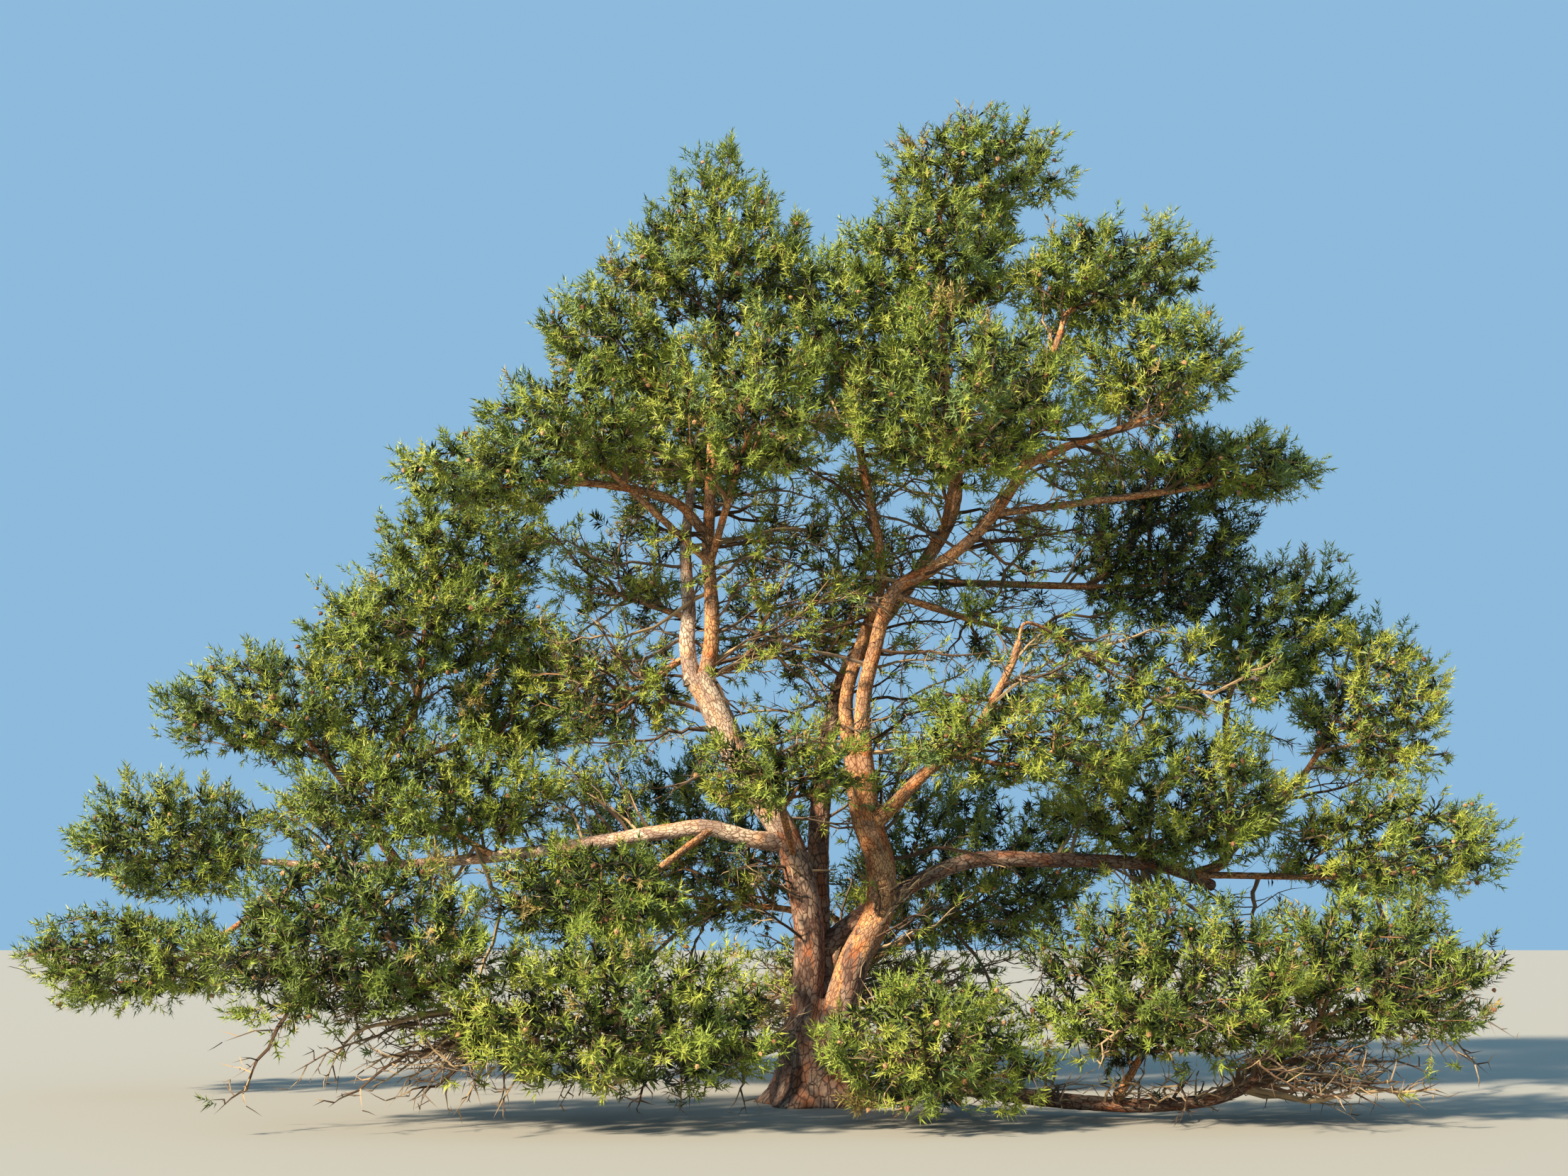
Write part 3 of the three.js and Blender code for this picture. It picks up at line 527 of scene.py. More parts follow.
def stem_of(mass):
    """The stem of a mass: from inside its limb, past the heart of the mass."""
    curve = curves[mass.limb]
    heart = mass.centre - UP * HEART_DROP * mass.half[2]
    at_tip = curve.nearest(heart)[0] > TIP_SHARE and mass.limb not in tips_taken
    share = 0.99 if at_tip else start_on(curve, heart)
    points = [curve.at(share)]
    if at_tip:
        tips_taken.add(mass.limb)
        points.append(curve.at(1) + curve.tangent(1) * TIP_LEAD)
    ahead = unit((heart - points[0]) * [1, 1, 0])
    reach = STEM_REACH * math.hypot(ahead[0] * mass.half[0], ahead[1] * mass.half[1])
    points += [heart, heart + ahead * reach + UP * STEM_RISE * reach]
    foot = min(STEM_FOOTS.get(mass.name, STEM_FOOT_MOST), STEM_SHARE * limb_radius(mass.limb, share))
    return Curve(points), foot


def spray_spots(mass):
    """The directions that the solid's twigs reach for: even all round, and none underneath."""
    turn = first_draw(mass.seed) * 2 * math.pi
    spots = []
    for i in range(mass.sprays):
        z = 1 - ((i + (0 if mass.cone else 0.5)) / mass.sprays) * (1 - LOWEST_SPRAY)
        angle = turn + i * GOLDEN_ANGLE
        flat = math.sqrt(1 - z * z)
        spots.append([flat * math.cos(angle), flat * math.sin(angle), z])
    return np.array(spots)


class Wood:
    """Branching wood as points with parents, on a stem. Each target is reached by the cheapest way."""

    def __init__(self, random, wander, joints, hearts):
        self.at = np.zeros((MOST_JOINTS, 3))
        self.heading = np.zeros((MOST_JOINTS, 3))
        self.path = np.zeros(MOST_JOINTS)
        self.closed = np.zeros(MOST_JOINTS)
        self.parent = []
        self.random = random
        self.wander = wander
        for k, joint in enumerate(joints):
            self.add(joint, k - 1)
        for heart in hearts:
            self.grow(heart)

    def add(self, at, parent):
        k = len(self.parent)
        self.at[k] = at
        if parent >= 0:
            run = at - self.at[parent]
            self.heading[k] = unit(run)
            self.path[k] = self.path[parent] + np.linalg.norm(run)
        self.parent.append(parent)
        return k

    def grow(self, target, sag=TWIG_SAG):
        """A twig from the cheapest point to the target: it leaves along the wood and bends over."""
        n = len(self.parent)
        away = target - self.at[:n]
        distance = np.linalg.norm(away, axis=1)
        turn = 1 - np.einsum("ij,ij->i", away, self.heading[:n]) / np.maximum(distance, 1e-6)
        cost = distance * (1 + TURN_WEIGHT * turn) + PATH_WEIGHT * self.path[:n]
        at = int(np.argmin(cost + self.closed[:n] + (distance < 0.04) * CLOSED))
        run = distance[at]
        first = self.at[at]
        middle = (first + target) / 2 + self.heading[at] * run * 0.22 - UP * run * sag
        steps = max(1, int(round(run / TWIG_STEP)))
        for i in range(1, steps + 1):
            t = i / steps
            point = first * (1 - t) ** 2 + 2 * middle * t * (1 - t) + target * t * t
            if i < steps:
                point = point + self.random.normal(0, self.wander * run / steps, 3)
            at = self.add(point, at)
        return at


def nearest_first(points, heart):
    return np.argsort(np.linalg.norm(points - heart, axis=1))


def frames_of(directions):
    """Two directions across each direction."""
    helper = np.where(np.abs(directions[:, 2:]) < 0.9, UP, np.array([1.0, 0, 0]))
    across = unit(np.cross(directions, helper))
    return across, np.cross(directions, across)


def circle(angles, across, over):
    """Points of a circle of radius one, for each pair of directions across."""
    return np.cos(angles)[:, None] * across[:, None] + np.sin(angles)[:, None] * over[:, None]


def even_angles(sides):
    return np.arange(sides) * 2 * math.pi / sides


def walls(rows, sides):
    """Triangles between rings that follow one another."""
    i = np.arange(rows)[:, None] * sides
    j = np.arange(sides)
    k = (j + 1) % sides
    lower = np.stack([i + j, i + k, i + sides + k], axis=-1)
    upper = np.stack([i + j, i + sides + k, i + sides + j], axis=-1)
    return np.vstack([lower.reshape(-1, 3), upper.reshape(-1, 3)])


def carried(wood):
    """Each point's parent, how many twigs go on from it, and how many ends it carries."""
    parent = np.array(wood.parent)
    children = np.bincount(parent[1:], minlength=len(parent))
    ends = (children == 0).astype(float)
    for k in range(len(parent) - 1, 0, -1):
        ends[parent[k]] += ends[k]
    return parent, children, ends


def wood_radii(wood, foot, tip):
    """The radius at each point, as what it carries asks."""
    radius = tip * carried(wood)[2] ** TWIG_POWER
    return radius * min(1.6, foot / radius[0])


def wood_mesh(wood, foot, tip, first):
    """Tapered prisms along the wood, from one of its points on, that share their rings."""
    parent, children, ends = carried(wood)
    radius = wood_radii(wood, foot, tip)
    n = len(parent)
    main = np.full(n, -1)
    for k in range(1, n):
        p = parent[k]
        if main[p] < 0 or ends[k] > ends[main[p]]:
            main[p] = k
    heading = wood.heading[:n].copy()
    has_main = main >= 0
    heading[has_main] = unit(heading[has_main] + heading[main[has_main]])
    points = []
    faces = []
    rings = {}

    def ring(centre, direction, size, sides):
        points.extend(centre + size * circle(even_angles(sides), *frames_of(direction[None]))[0])
        return len(points) - sides

    for k in range(first, n):
        p = parent[k]
        sides = 6 if radius[k] > STOUT_TWIG else 3
        if main[p] == k and (p, sides) in rings:
            start = rings[p, sides]
        else:
            start = ring(wood.at[p], wood.heading[k], min(radius[p], radius[k] * 1.25), sides)
        if children[k] == 0:
            points.append(wood.at[k])
            faces += [[start + i, start + (i + 1) % sides, len(points) - 1] for i in range(sides)]
            continue
        end = ring(wood.at[k], heading[k], radius[k], sides)
        rings[k, sides] = end
        for i in range(sides):
            j = (i + 1) % sides
            faces += [[start + i, start + j, end + j], [start + i, end + j, end + i]]
    return np.array(points), np.array(faces)


def outside(points):
    """True where a point is in no mass's space."""
    free = np.ones(points.shape[:-1], bool)
    for mass in masses:
        free &= mass.level(points) > 1
    return free


def spread_out(points, wanted):
    """As many of the points as wanted, as far apart as they can be."""
    spacing = CLUSTER_SPACING
    while True:
        chosen = points[:1]
        for point in points[1:]:
            if np.linalg.norm(chosen - point, axis=1).min() > spacing:
                chosen = np.vstack([chosen, point])
                if len(chosen) == wanted:
                    return chosen
        if spacing < 0.12:
            return chosen
        spacing *= 0.88


def clusters_of(mass, random):
    """Centres of clusters of brushes: near the open side of the mass's space, apart from one another."""
    tries = unit(random.normal(size=(CLUSTER_TRIES, 3)))
    tries = tries * random.uniform(0.2, 1, (CLUSTER_TRIES, 1)) ** 0.3 * 0.95
    tries = tries[tries[:, 2] > CLUSTER_LOWEST]
    if mass.cone:
        share = random.uniform(0, 1, len(tries)) ** 0.6
        angle = random.uniform(0, 2 * math.pi, len(tries))
        radius = share * random.uniform(0.3, 1, len(tries)) ** 0.5 * 0.97
        tries = np.stack([radius * np.cos(angle), radius * np.sin(angle), (1 - share) * 0.97], axis=1)
    points = mass.place(tries)
    points = points[in_space(mass, points)]
    open_ways = outside(points[:, None] + unit(PROBES) * PROBE_REACH).sum(axis=1)
    points = points[(open_ways > 0) & (clearance(points) > CLUSTER_CLEAR)]
    return spread_out(points, int(mass.wanted(CLUSTERS) * mass.full + 0.5))


def inner_spots(mass, random):
    """Where the twigs inside a mass end, evenly through its space."""
    tries = unit(random.normal(size=(INNER_TRIES, 3)))
    tries = tries * random.uniform(0, 1, (INNER_TRIES, 1)) ** 0.4 * 0.88
    points = mass.place(tries)
    points = points[in_space(mass, points, INNER_LEVEL)]
    points = points[(clearance(points) > INNER_CLEAR) & (points[:, 2] > LOWEST_BRUSH)]
    return spread_out(points, int(mass.wanted(INNER_SPOTS) * mass.full * INNER_SHARE.get(mass.piece, 1.0)))


def bare_spots(mass, random):
    """Where bare twigs end: low in the mass's space."""
    wanted = int(mass.wanted(BARE_TWIGS) * mass.dead)
    tries = unit(random.normal(size=(wanted * 4, 3))) * random.uniform(0.3, 1.0, (wanted * 4, 1))
    tries[:, 2] = -np.abs(tries[:, 2]) * random.uniform(-0.5, 1.0, wanted * 4)
    points = mass.centre + tries * mass.half * [1, 1, UNDERSIDE]
    points = points[in_space(mass, points)]
    return points[clearance(points) > BARE_CLEAR][:wanted]


def gnarled(foot, bend, tip, random, wander):
    """A path in steps from foot to tip by way of a bend, that wanders."""
    steps = max(2, int(np.linalg.norm(tip - foot) / BOUGH_STEP))
    t = np.linspace(0, 1, steps + 1)[:, None]
    path = foot * (1 - t) ** 2 + 2 * bend * t * (1 - t) + tip * t * t
    kinks = np.cumsum(random.normal(0, wander * BOUGH_STEP, (steps + 1, 3)), axis=0)
    return path + (kinks - kinks[0]) * np.minimum(1, 3 * t)


def tube(path, first, last, sides):
    """A tapered tube round a path, open at its foot and pointed at its tip."""
    rows = len(path) - 2
    radius = last + (first - last) * (1 - np.linspace(0, 1, len(path))) ** 0.8
    rings = circle(even_angles(sides), *frames_of(unit(np.gradient(path, axis=0))))
    points = (path[:, None] + rings * radius[:, None, None])[:-1].reshape(-1, 3)
    tip = [[rows * sides + m, rows * sides + (m + 1) % sides, len(points)] for m in range(sides)]
    return np.vstack([points, path[-1:]]), np.vstack([walls(rows, sides), tip])


class Boughs:
    """Bare boughs: their meshes, and the foot and tip of each twig on them that carries a brush."""

    def __init__(self, random):
        self.random = random
        self.meshes = []
        self.tufts = []

    def bend(self, foot, tip, run, low, high, wander):
        """A point half way, lifted by a share of the run and off to a side."""
        lift = UP * run * self.random.uniform(low, high)
        return (foot + tip) / 2 + lift + self.random.normal(0, wander, 3) * run

    def grow(self, foot, bend, tip, thick, tuft_share, rise):
        """One bough with side twigs in a fan and finer twigs on those, if there is room."""
        random = self.random
        path = gnarled(foot, bend, tip, random, 0.22)
        if clearance(path[3:]).min(initial=1) < 0.01 or path[2:, 2].min() < LOWEST_TWIG:
            return False
        length = np.linalg.norm(np.diff(path, axis=0), axis=1).sum()
        self.meshes.append(tube(path, thick, BARE_TIP, 4))
        heading = unit(np.gradient(path, axis=0))
        fan = unit(np.cross(heading[len(path) // 2], UP + random.normal(0, 0.35, 3)))
        count = int(length * 0.78 / FAN_GAP)
        for i in range(count):
            share = 0.22 + 0.76 * (i + random.uniform(0, 0.8)) / count
            k = min(int(share * (len(path) - 1)), len(path) - 2)
            start = path[k] + (path[k + 1] - path[k]) * (share * (len(path) - 1) - k)
            side = fan * (1 if i % 2 else -1) + random.normal(0, 0.3, 3)
            way = unit(heading[k] * random.uniform(0.5, 1.1) + side + UP * random.uniform(*rise))
            reach = FAN_REACH * length * (1.1 - 0.8 * share) * random.uniform(0.35, 1.0)
            end = start + way * reach
            if not in_box(end):
                continue
            middle = start + way * reach * 0.5 + UP * reach * random.uniform(-0.1, 0.12)
            twig = gnarled(start, middle, end, random, 0.2)
            if twig[:, 2].min() < LOWEST_TWIG:
                continue
            self.meshes.append(tube(twig, BARE_TIP * 1.9, BARE_TIP * 0.8, 3))
            if random.uniform() < tuft_share and has_room(end):
                self.tufts.append((twig[-2], end))
            for m in range(int(reach / 0.12)):
                at = twig[min(m + 1, len(twig) - 1)]
                aside = unit(way + random.normal(0, 0.7, 3))
                fine = at + aside * random.uniform(0.07, 0.2)
                if not in_box(fine):
                    continue
                bent = np.stack([at, (at + fine) / 2 + random.normal(0, 0.008, 3), fine])
                self.meshes.append(tube(bent, BARE_TIP * 1.2, BARE_TIP * 0.6, 3))
                if random.uniform() < tuft_share * 0.5 and has_room(fine):
                    self.tufts.append((at, fine))
        return True

    def tuft_ends(self):
        """The feet and the tips of the twigs that carry a brush."""
        return np.array(self.tufts).reshape(-1, 2, 3).transpose(1, 0, 2)


def boughs_of_mass(mass, curve, random):
    """The bare boughs of a mass, from its limb or its stem, and those that droop to the ground."""
    boughs = Boughs(random)
    limb = curves[mass.limb]
    most = BARE_REACH.get(mass.piece, 1.0)
    for count, to_ground in ((mass.bare, False), (mass.to_ground, True)):
        made = 0
        for _ in range(count * 6):
            if made == count:
                break
            if to_ground:
                tip = mass.centre + random.uniform(-1, 1, 3) * mass.half * [1.05, 1, 0]
                tip[2] = random.uniform(0.03, 0.6)
            else:
                way = unit(random.normal(size=3))
                if mass.piece == "skirt":
                    way = unit(way + unit(mass.centre * [1, 1, 0]))
                tip = mass.centre + way * random.uniform(0.6, most) * mass.half
                if most == 1 and not in_space(mass, tip[None])[0]:
                    continue
            if np.any(tip < reach_low - 0.05) or np.any(tip > reach_high):
                continue
            limb_share, limb_distance = limb.nearest(tip)
            stem_share, stem_distance = curve.nearest(tip)
            if limb_distance < 1.3 * stem_distance + 0.2 and limb_distance < 1.9:
                share = min(limb_share, 0.97) - min(0.25 * limb_distance / limb.length, 0.1)
                foot = limb.at(max(share, 0.05))
            else:
                foot = curve.at(min(max(stem_share - 0.15, 0.15), 0.85))
            run = np.linalg.norm(tip - foot)
            if run < 0.35:
                continue
            thick = BOUGH_FOOT * min(1.2, 0.4 + 0.45 * run)
            if to_ground:
                bend = boughs.bend(foot, tip, run, 0.15, 0.4, 0.22)
                made += boughs.grow(foot, bend, tip, thick, 0.03, (0.0, 0.9))
            else:
                bend = boughs.bend(foot, tip, run, -0.12, 0.2, 0.14)
                rise = (-0.4, 0.1) if most < 1.15 else (-0.3, 0.5)
                made += boughs.grow(foot, bend, tip, thick, TUFT_SHARE.get(mass.piece, 0.15), rise)
    return boughs


def boughs_of_stem(name, low, high, count, random):
    """Bare boughs on a stem between two heights, all round. Some of their twigs carry brushes."""
    boughs = Boughs(random)
    curve = curves[name]
    shares = np.linspace(0.04, 0.96, 100)
    heights = curve.at(shares)[:, 2]
    shares = shares[(heights > low) & (heights < high)]
    for i in range(count):
        foot = curve.at(shares[int(len(shares) * (i + random.uniform()) / count)])
        azimuth = i * GOLDEN_ANGLE + random.normal(0, 0.3)
        run = random.uniform(*STEM_BOUGH_REACH)
        ahead = np.array([math.cos(azimuth), 0.7 * math.sin(azimuth), random.uniform(-0.25, 0.4)])
        tip = foot + ahead * run
        if np.any(tip < reach_low) or np.any(tip > reach_high):
            continue
        bend = boughs.bend(foot, tip, run, -0.05, 0.2, 0.12)
        thick = BOUGH_FOOT * random.uniform(0.6, 1.0)
        boughs.grow(foot, bend, tip, thick, STEM_TUFT_SHARE, (-0.4, 0.1))
    return boughs


def bridging_boughs(limb, centre, half, count, tuft_share, random):
    """Small boughs from a limb into the space between two masses."""
    boughs = Boughs(random)
    curve = curves[limb]
    for _ in range(count):
        aside = unit(random.normal(size=3)) * random.uniform(0.3, 1.0) * np.array(half)
        tip = np.array(centre) * MM + aside * MM
        tip[2] = max(tip[2], 0.05)
        foot = curve.at(start_on(curve, tip))
        run = np.linalg.norm(tip - foot)
        bend = boughs.bend(foot, tip, run, -0.05, 0.2, 0.12)
        boughs.grow(foot, bend, tip, BOUGH_FOOT * min(1.1, 0.4 + 0.4 * run), tuft_share, (-0.2, 0.6))
    return boughs


def stubs(name, random):
    """Broken stubs of old branches on a stem."""
    curve = curves[name]
    meshes = []
    for i in range(int(curve.length / STUB_GAP)):
        share = (i + random.uniform(0.2, 0.8)) * STUB_GAP / curve.length
        along = curve.tangent(share)
        aside = unit(np.cross(along, random.normal(size=3)))
        centre = curve.at(share)
        length = limb_radius(name, share) + random.choice(STUB_LENGTHS, p=STUB_SHARES)
        way = unit(aside + along * random.uniform(-0.2, 0.5) - UP * 0.1)
        end = centre + way * length
        if clearance(end[None])[0] < 0.015:
            continue
        path = gnarled(centre, (centre + end) / 2 + UP * 0.02, end, random, 0.1)
        meshes.append(tube(path, random.uniform(0.008, 0.016), 0.004, 4))
    return meshes


def brushes(tips, before, random):
    """Needles round the end of each twig and round a shorter shoot beside it, as their corners."""
    count = len(tips)
    heading = unit(unit(tips - before) + UP * 0.35)
    across, over = frames_of(heading)
    turn = random.uniform(0, 2 * math.pi, count)[:, None]
    end_length = SHOOT_LENGTH * random.uniform(0.85, 1.15, count)
    side = turn + random.normal(0, 0.3, (count, 1))
    aside = np.cos(side) * across + np.sin(side) * over
    side_length = SHOOT_LENGTH * SIDE_SHOOT * random.uniform(0.8, 1.2, count)
    axes = np.stack([heading, unit(heading * 0.75 + aside * 0.75 + UP * 0.15)], axis=1)
    origins = np.stack([tips - heading * SHOOT_LENGTH * back for back in (0.35, 0.75)], axis=1)
    lengths = np.stack([end_length, side_length], axis=1)
    shape = (count, SHOOTS, NEEDLES_PER_SHOOT)
    t = (np.arange(NEEDLES_PER_SHOOT) + random.uniform(0, 1, shape)) / NEEDLES_PER_SHOOT
    azimuth = np.arange(NEEDLES_PER_SHOOT) * GOLDEN_ANGLE + random.uniform(0, 6.28, shape[:2] + (1,))
    azimuth = (azimuth + random.normal(0, 0.25, shape))[..., None]
    spread = (1.4 - 0.85 * t + random.normal(0, 0.14, shape))[..., None]
    u, v = (way.reshape(shape[:2] + (1, 3)) for way in frames_of(axes.reshape(-1, 3)))
    radial = np.cos(azimuth) * u + np.sin(azimuth) * v
    along = axes[:, :, None]
    needle = np.cos(spread) * along + np.sin(spread) * radial
    foot = origins[:, :, None] + along * (lengths[:, :, None] * t)[..., None]
    length = NEEDLE_LENGTH * random.uniform(0.8, 1.12, shape)[..., None]
    wide = np.cross(along, radial) * NEEDLE_WIDTH * 0.5
    twist = random.normal(0, 0.5, shape)[..., None] * radial * NEEDLE_WIDTH * 0.5
    corners = np.stack([foot + wide + twist, foot - wide - twist, foot + needle * length], axis=-2)
    return corners.reshape(-1, 3)


def inner_needles(wood, inner_ends, random):
    """Broader needles along the thin wood behind the brushes, which close the crown."""
    parent, children, ends = carried(wood)
    thin = (children > 0) & (ends > 1) & (ends <= THIN_WOOD)
    thin[: STEM_JOINTS + 1] = False
    joints = np.repeat(np.flatnonzero(thin), INNER_NEEDLES)
    joints = np.concatenate([joints, np.repeat(inner_ends, INNER_TUFT)]).astype(int)
    count = len(joints)
    along = wood.heading[joints]
    foot = wood.at[joints] - along * random.uniform(0, 0.16, (count, 1))
    needle = unit(unit(random.normal(size=(count, 3))) + 0.5 * along + 0.2 * UP)
    length = INNER_LENGTH * random.uniform(0.8, 1.15, (count, 1))
    wide = unit(np.cross(needle, random.normal(size=(count, 3)))) * INNER_WIDTH * 0.5
    middle = foot + needle * length * 0.45
    corners = np.stack([foot + wide * 0.6, middle - wide, foot + needle * length], axis=1)
    return corners[corners[:, :, 2].min(axis=1) > 0.03]


def cone_mesh(at, direction, random):
    """One small cone: two rings of scales between a blunt foot and a point."""
    length = CONE_LENGTH * random.uniform(0.85, 1.2)
    across, over = frames_of(direction[None])
    points = [at]
    for share, size, turn in ((0.25, 0.42, 0.0), (0.6, 0.36, 0.5)):
        ring = circle((np.arange(5) + turn) * math.pi * 0.4, across, over)[0]
        points += list(at + direction * length * share + ring * length * size)
    points.append(at + direction * length)
    faces = []
    for i in range(5):
        j = (i + 1) % 5
        faces += [[0, 1 + j, 1 + i], [1 + i, 1 + j, 6 + i], [1 + j, 6 + j, 6 + i], [6 + i, 6 + j, 11]]
    return np.array(points), np.array(faces)


def lattice(u, v, cells, seed):
    """Smooth noise from 0 to 1 that repeats after a number of cells in u."""
    table = np.random.default_rng(seed).random((cells, NOISE_LENGTH))
    i = np.floor(u).astype(int)
    j = np.floor(v).astype(int)
    fu, fv = u - i, v - j
    fu, fv = fu * fu * (3 - 2 * fu), fv * fv * (3 - 2 * fv)
    a, b = table[i % cells, j % NOISE_LENGTH], table[(i + 1) % cells, j % NOISE_LENGTH]
    c, d = table[i % cells, (j + 1) % NOISE_LENGTH], table[(i + 1) % cells, (j + 1) % NOISE_LENGTH]
    return (a * (1 - fu) + b * fu) * (1 - fv) + (c * (1 - fu) + d * fu) * fv


def plates(u, v, cells, seed):
    """Cells with narrow gaps between them: the distance to the nearest gap, 0 in it."""
    table = np.random.default_rng(seed).random((cells, NOISE_LENGTH, 2))
    i = np.floor(u).astype(int)
    j = np.floor(v).astype(int)
    nearest = np.full(u.shape, 9.0)
    second = np.full(u.shape, 9.0)
    for di in (-1, 0, 1):
        for dj in (-1, 0, 1):
            spot = table[(i + di) % cells, (j + dj) % NOISE_LENGTH]
            gap = np.hypot(i + di + 0.15 + 0.7 * spot[..., 0] - u, j + dj + 0.15 + 0.7 * spot[..., 1] - v)
            second = np.minimum(second, np.maximum(nearest, gap))
            nearest = np.minimum(nearest, gap)
    return second - nearest


def carried_frames(directions):
    """A direction across each tangent, carried along without twist."""
    across = np.empty_like(directions)
    across[0] = frames_of(directions[:1])[0][0]
    for k in range(1, len(directions)):
        across[k] = unit(across[k - 1] - directions[k] * np.dot(across[k - 1], directions[k]))
    return across, np.cross(directions, across)


def bark_mesh(curve, radius_at, kind, sides, spacing, seed, shape=None):
    """A limb's bark: rings along its curve with plates and cracks, closed at both ends. Its points,
    triangles and the place of each corner on the bark, in metres round and along."""
    rings = max(6, int(curve.length / spacing))
    shares = np.linspace(0, 1, rings + 1)
    centres = curve.at(shares)
    radius = radius_at(shares)[:, None]
    mean = float(radius.mean())
    around = (np.arange(sides) / sides)[None]
    run = (shares * curve.length)[:, None]
    depth = np.minimum(BARKS[kind][4], RELIEF_SHARE * radius)
    cells = max(4, int(2 * math.pi * mean / PLATE_WIDTH))
    warp = lattice(around * 6, run * 5, 6, seed)
    cracks = plates(around * cells + 0.8 * warp, run / PLATE_LENGTH + 0.5 * warp, cells, seed + 1)
    bulge = lattice(around * 3, run * 1.6, 3, seed + 2) - 0.5
    size = radius * (1 + 0.12 * bulge) - depth + np.clip(cracks / 0.35, 0, 1) ** 0.7 * depth
    if shape:
        size = shape(run, around * 2 * math.pi, size)
    ring = circle(around[0] * 2 * math.pi, *carried_frames(curve.tangent(shares)))
    points = (centres[:, None] + size[..., None] * ring).reshape(-1, 3)
    first, last = len(points), len(points) + 1
    foot = [[first, (m + 1) % sides, m] for m in range(sides)]
    top = [[last, rings * sides + m, rings * sides + (m + 1) % sides] for m in range(sides)]
    triangles = np.vstack([walls(rings, sides), foot, top])
    ring_of = np.minimum(triangles // sides, rings + 1)
    side_of = triangles % sides
    wraps = side_of.max(axis=1) - side_of.min(axis=1) > sides / 2
    side_of = np.where(wraps[:, None] & (side_of < sides / 2), side_of + sides, side_of)
    places = np.stack([side_of / sides * 2 * math.pi * mean, ring_of * curve.length / rings], axis=-1)
    return np.vstack([points, centres[:1], centres[-1:]]), triangles, places.reshape(-1, 2)


def joined(meshes):
    """Several meshes, each with points and faces first, as one."""
    points = []
    faces = []
    count = 0
    for some_points, some_faces, *_ in meshes:
        points.append(some_points)
        faces.append(some_faces + count)
        count += len(some_points)
    return np.vstack(points), np.vstack(faces)


def add_piece(name, slot, points, faces, materials, indices=None, smooth=False):
    """A piece of the tree out of arrays of points and triangles."""
    mesh = bpy.data.meshes.new(name)
    mesh.vertices.add(len(points))
    mesh.vertices.foreach_set("co", np.asarray(points, np.float32).ravel())
    mesh.loops.add(faces.size)
    mesh.loops.foreach_set("vertex_index", faces.astype(np.int32).ravel())
    mesh.polygons.add(len(faces))
    mesh.polygons.foreach_set("loop_start", np.arange(0, faces.size, 3, dtype=np.int32))
    for material in materials:
        mesh.materials.append(material)
    if indices is not None:
        mesh.polygons.foreach_set("material_index", np.asarray(indices, np.int32))
    mesh.polygons.foreach_set("use_smooth", np.full(len(faces), smooth))
    mesh.update(calc_edges=True)
    mesh.validate()
    piece = bpy.data.objects.new(name, mesh)
    bpy.context.scene.collection.objects.link(piece)
    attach(piece, "root")
    return piece


def bark_piece(name, slot, kinds, meshes, indices=None):
    """A smooth piece out of limbs' bark, with each corner's place on the bark laid on it."""
    piece = add_piece(name, slot, *joined(meshes), [bark_materials[kind] for kind in kinds], indices, True)
    layer = piece.data.uv_layers.new(name="bark")
    layer.data.foreach_set("uv", np.vstack([mesh[2] for mesh in meshes]).astype(np.float32).ravel())
    return piece


def dress_limb(name, kind, mesh, seed):
    """The bark that replaces a limb, on some stems with another kind above a height."""
    kinds = [kind]
    indices = None
    if name in BARK_CHANGES:
        height, upper = BARK_CHANGES[name]
        kinds = ["rugged", upper]
        centre = mesh[0][mesh[1]].mean(axis=1)
        uneven = lattice(centre[:, 0] * 9 + 50, centre[:, 1] * 9 + centre[:, 2] * 3 + 50, 8, seed)
        indices = (centre[:, 2] + 1.1 * (uneven - 0.5) > height).astype(int)
    slot = "bark_lower" if kind == "rugged" else "bark_upper"
    piece = bark_piece("bark_" + name, slot, kinds, [mesh], indices)
    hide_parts(name)


def linear(colour):
    """A display colour, 0 to 255, as the linear values that a shader takes."""
    c = np.array(colour) / 255
    return [*np.where(c <= 0.04045, c / 12.92, ((c + 0.055) / 1.055) ** 2.4), 1.0]


def shader_of(name, specular):
    material = bpy.data.materials.new(name)
    material.use_nodes = True
    shader = material.node_tree.nodes["Principled BSDF"]
    shader.inputs["Specular IOR Level"].default_value = specular
    return material, shader


def plain(name, colour, roughness):
    material, shader = shader_of(name, 0.3)
    shader.inputs["Base Color"].default_value = linear(colour)
    shader.inputs["Roughness"].default_value = roughness
    return material


def paints(kind, colours, roughness):
    return [plain(kind + "_" + name, colour, roughness) for name, colour in colours.items()]


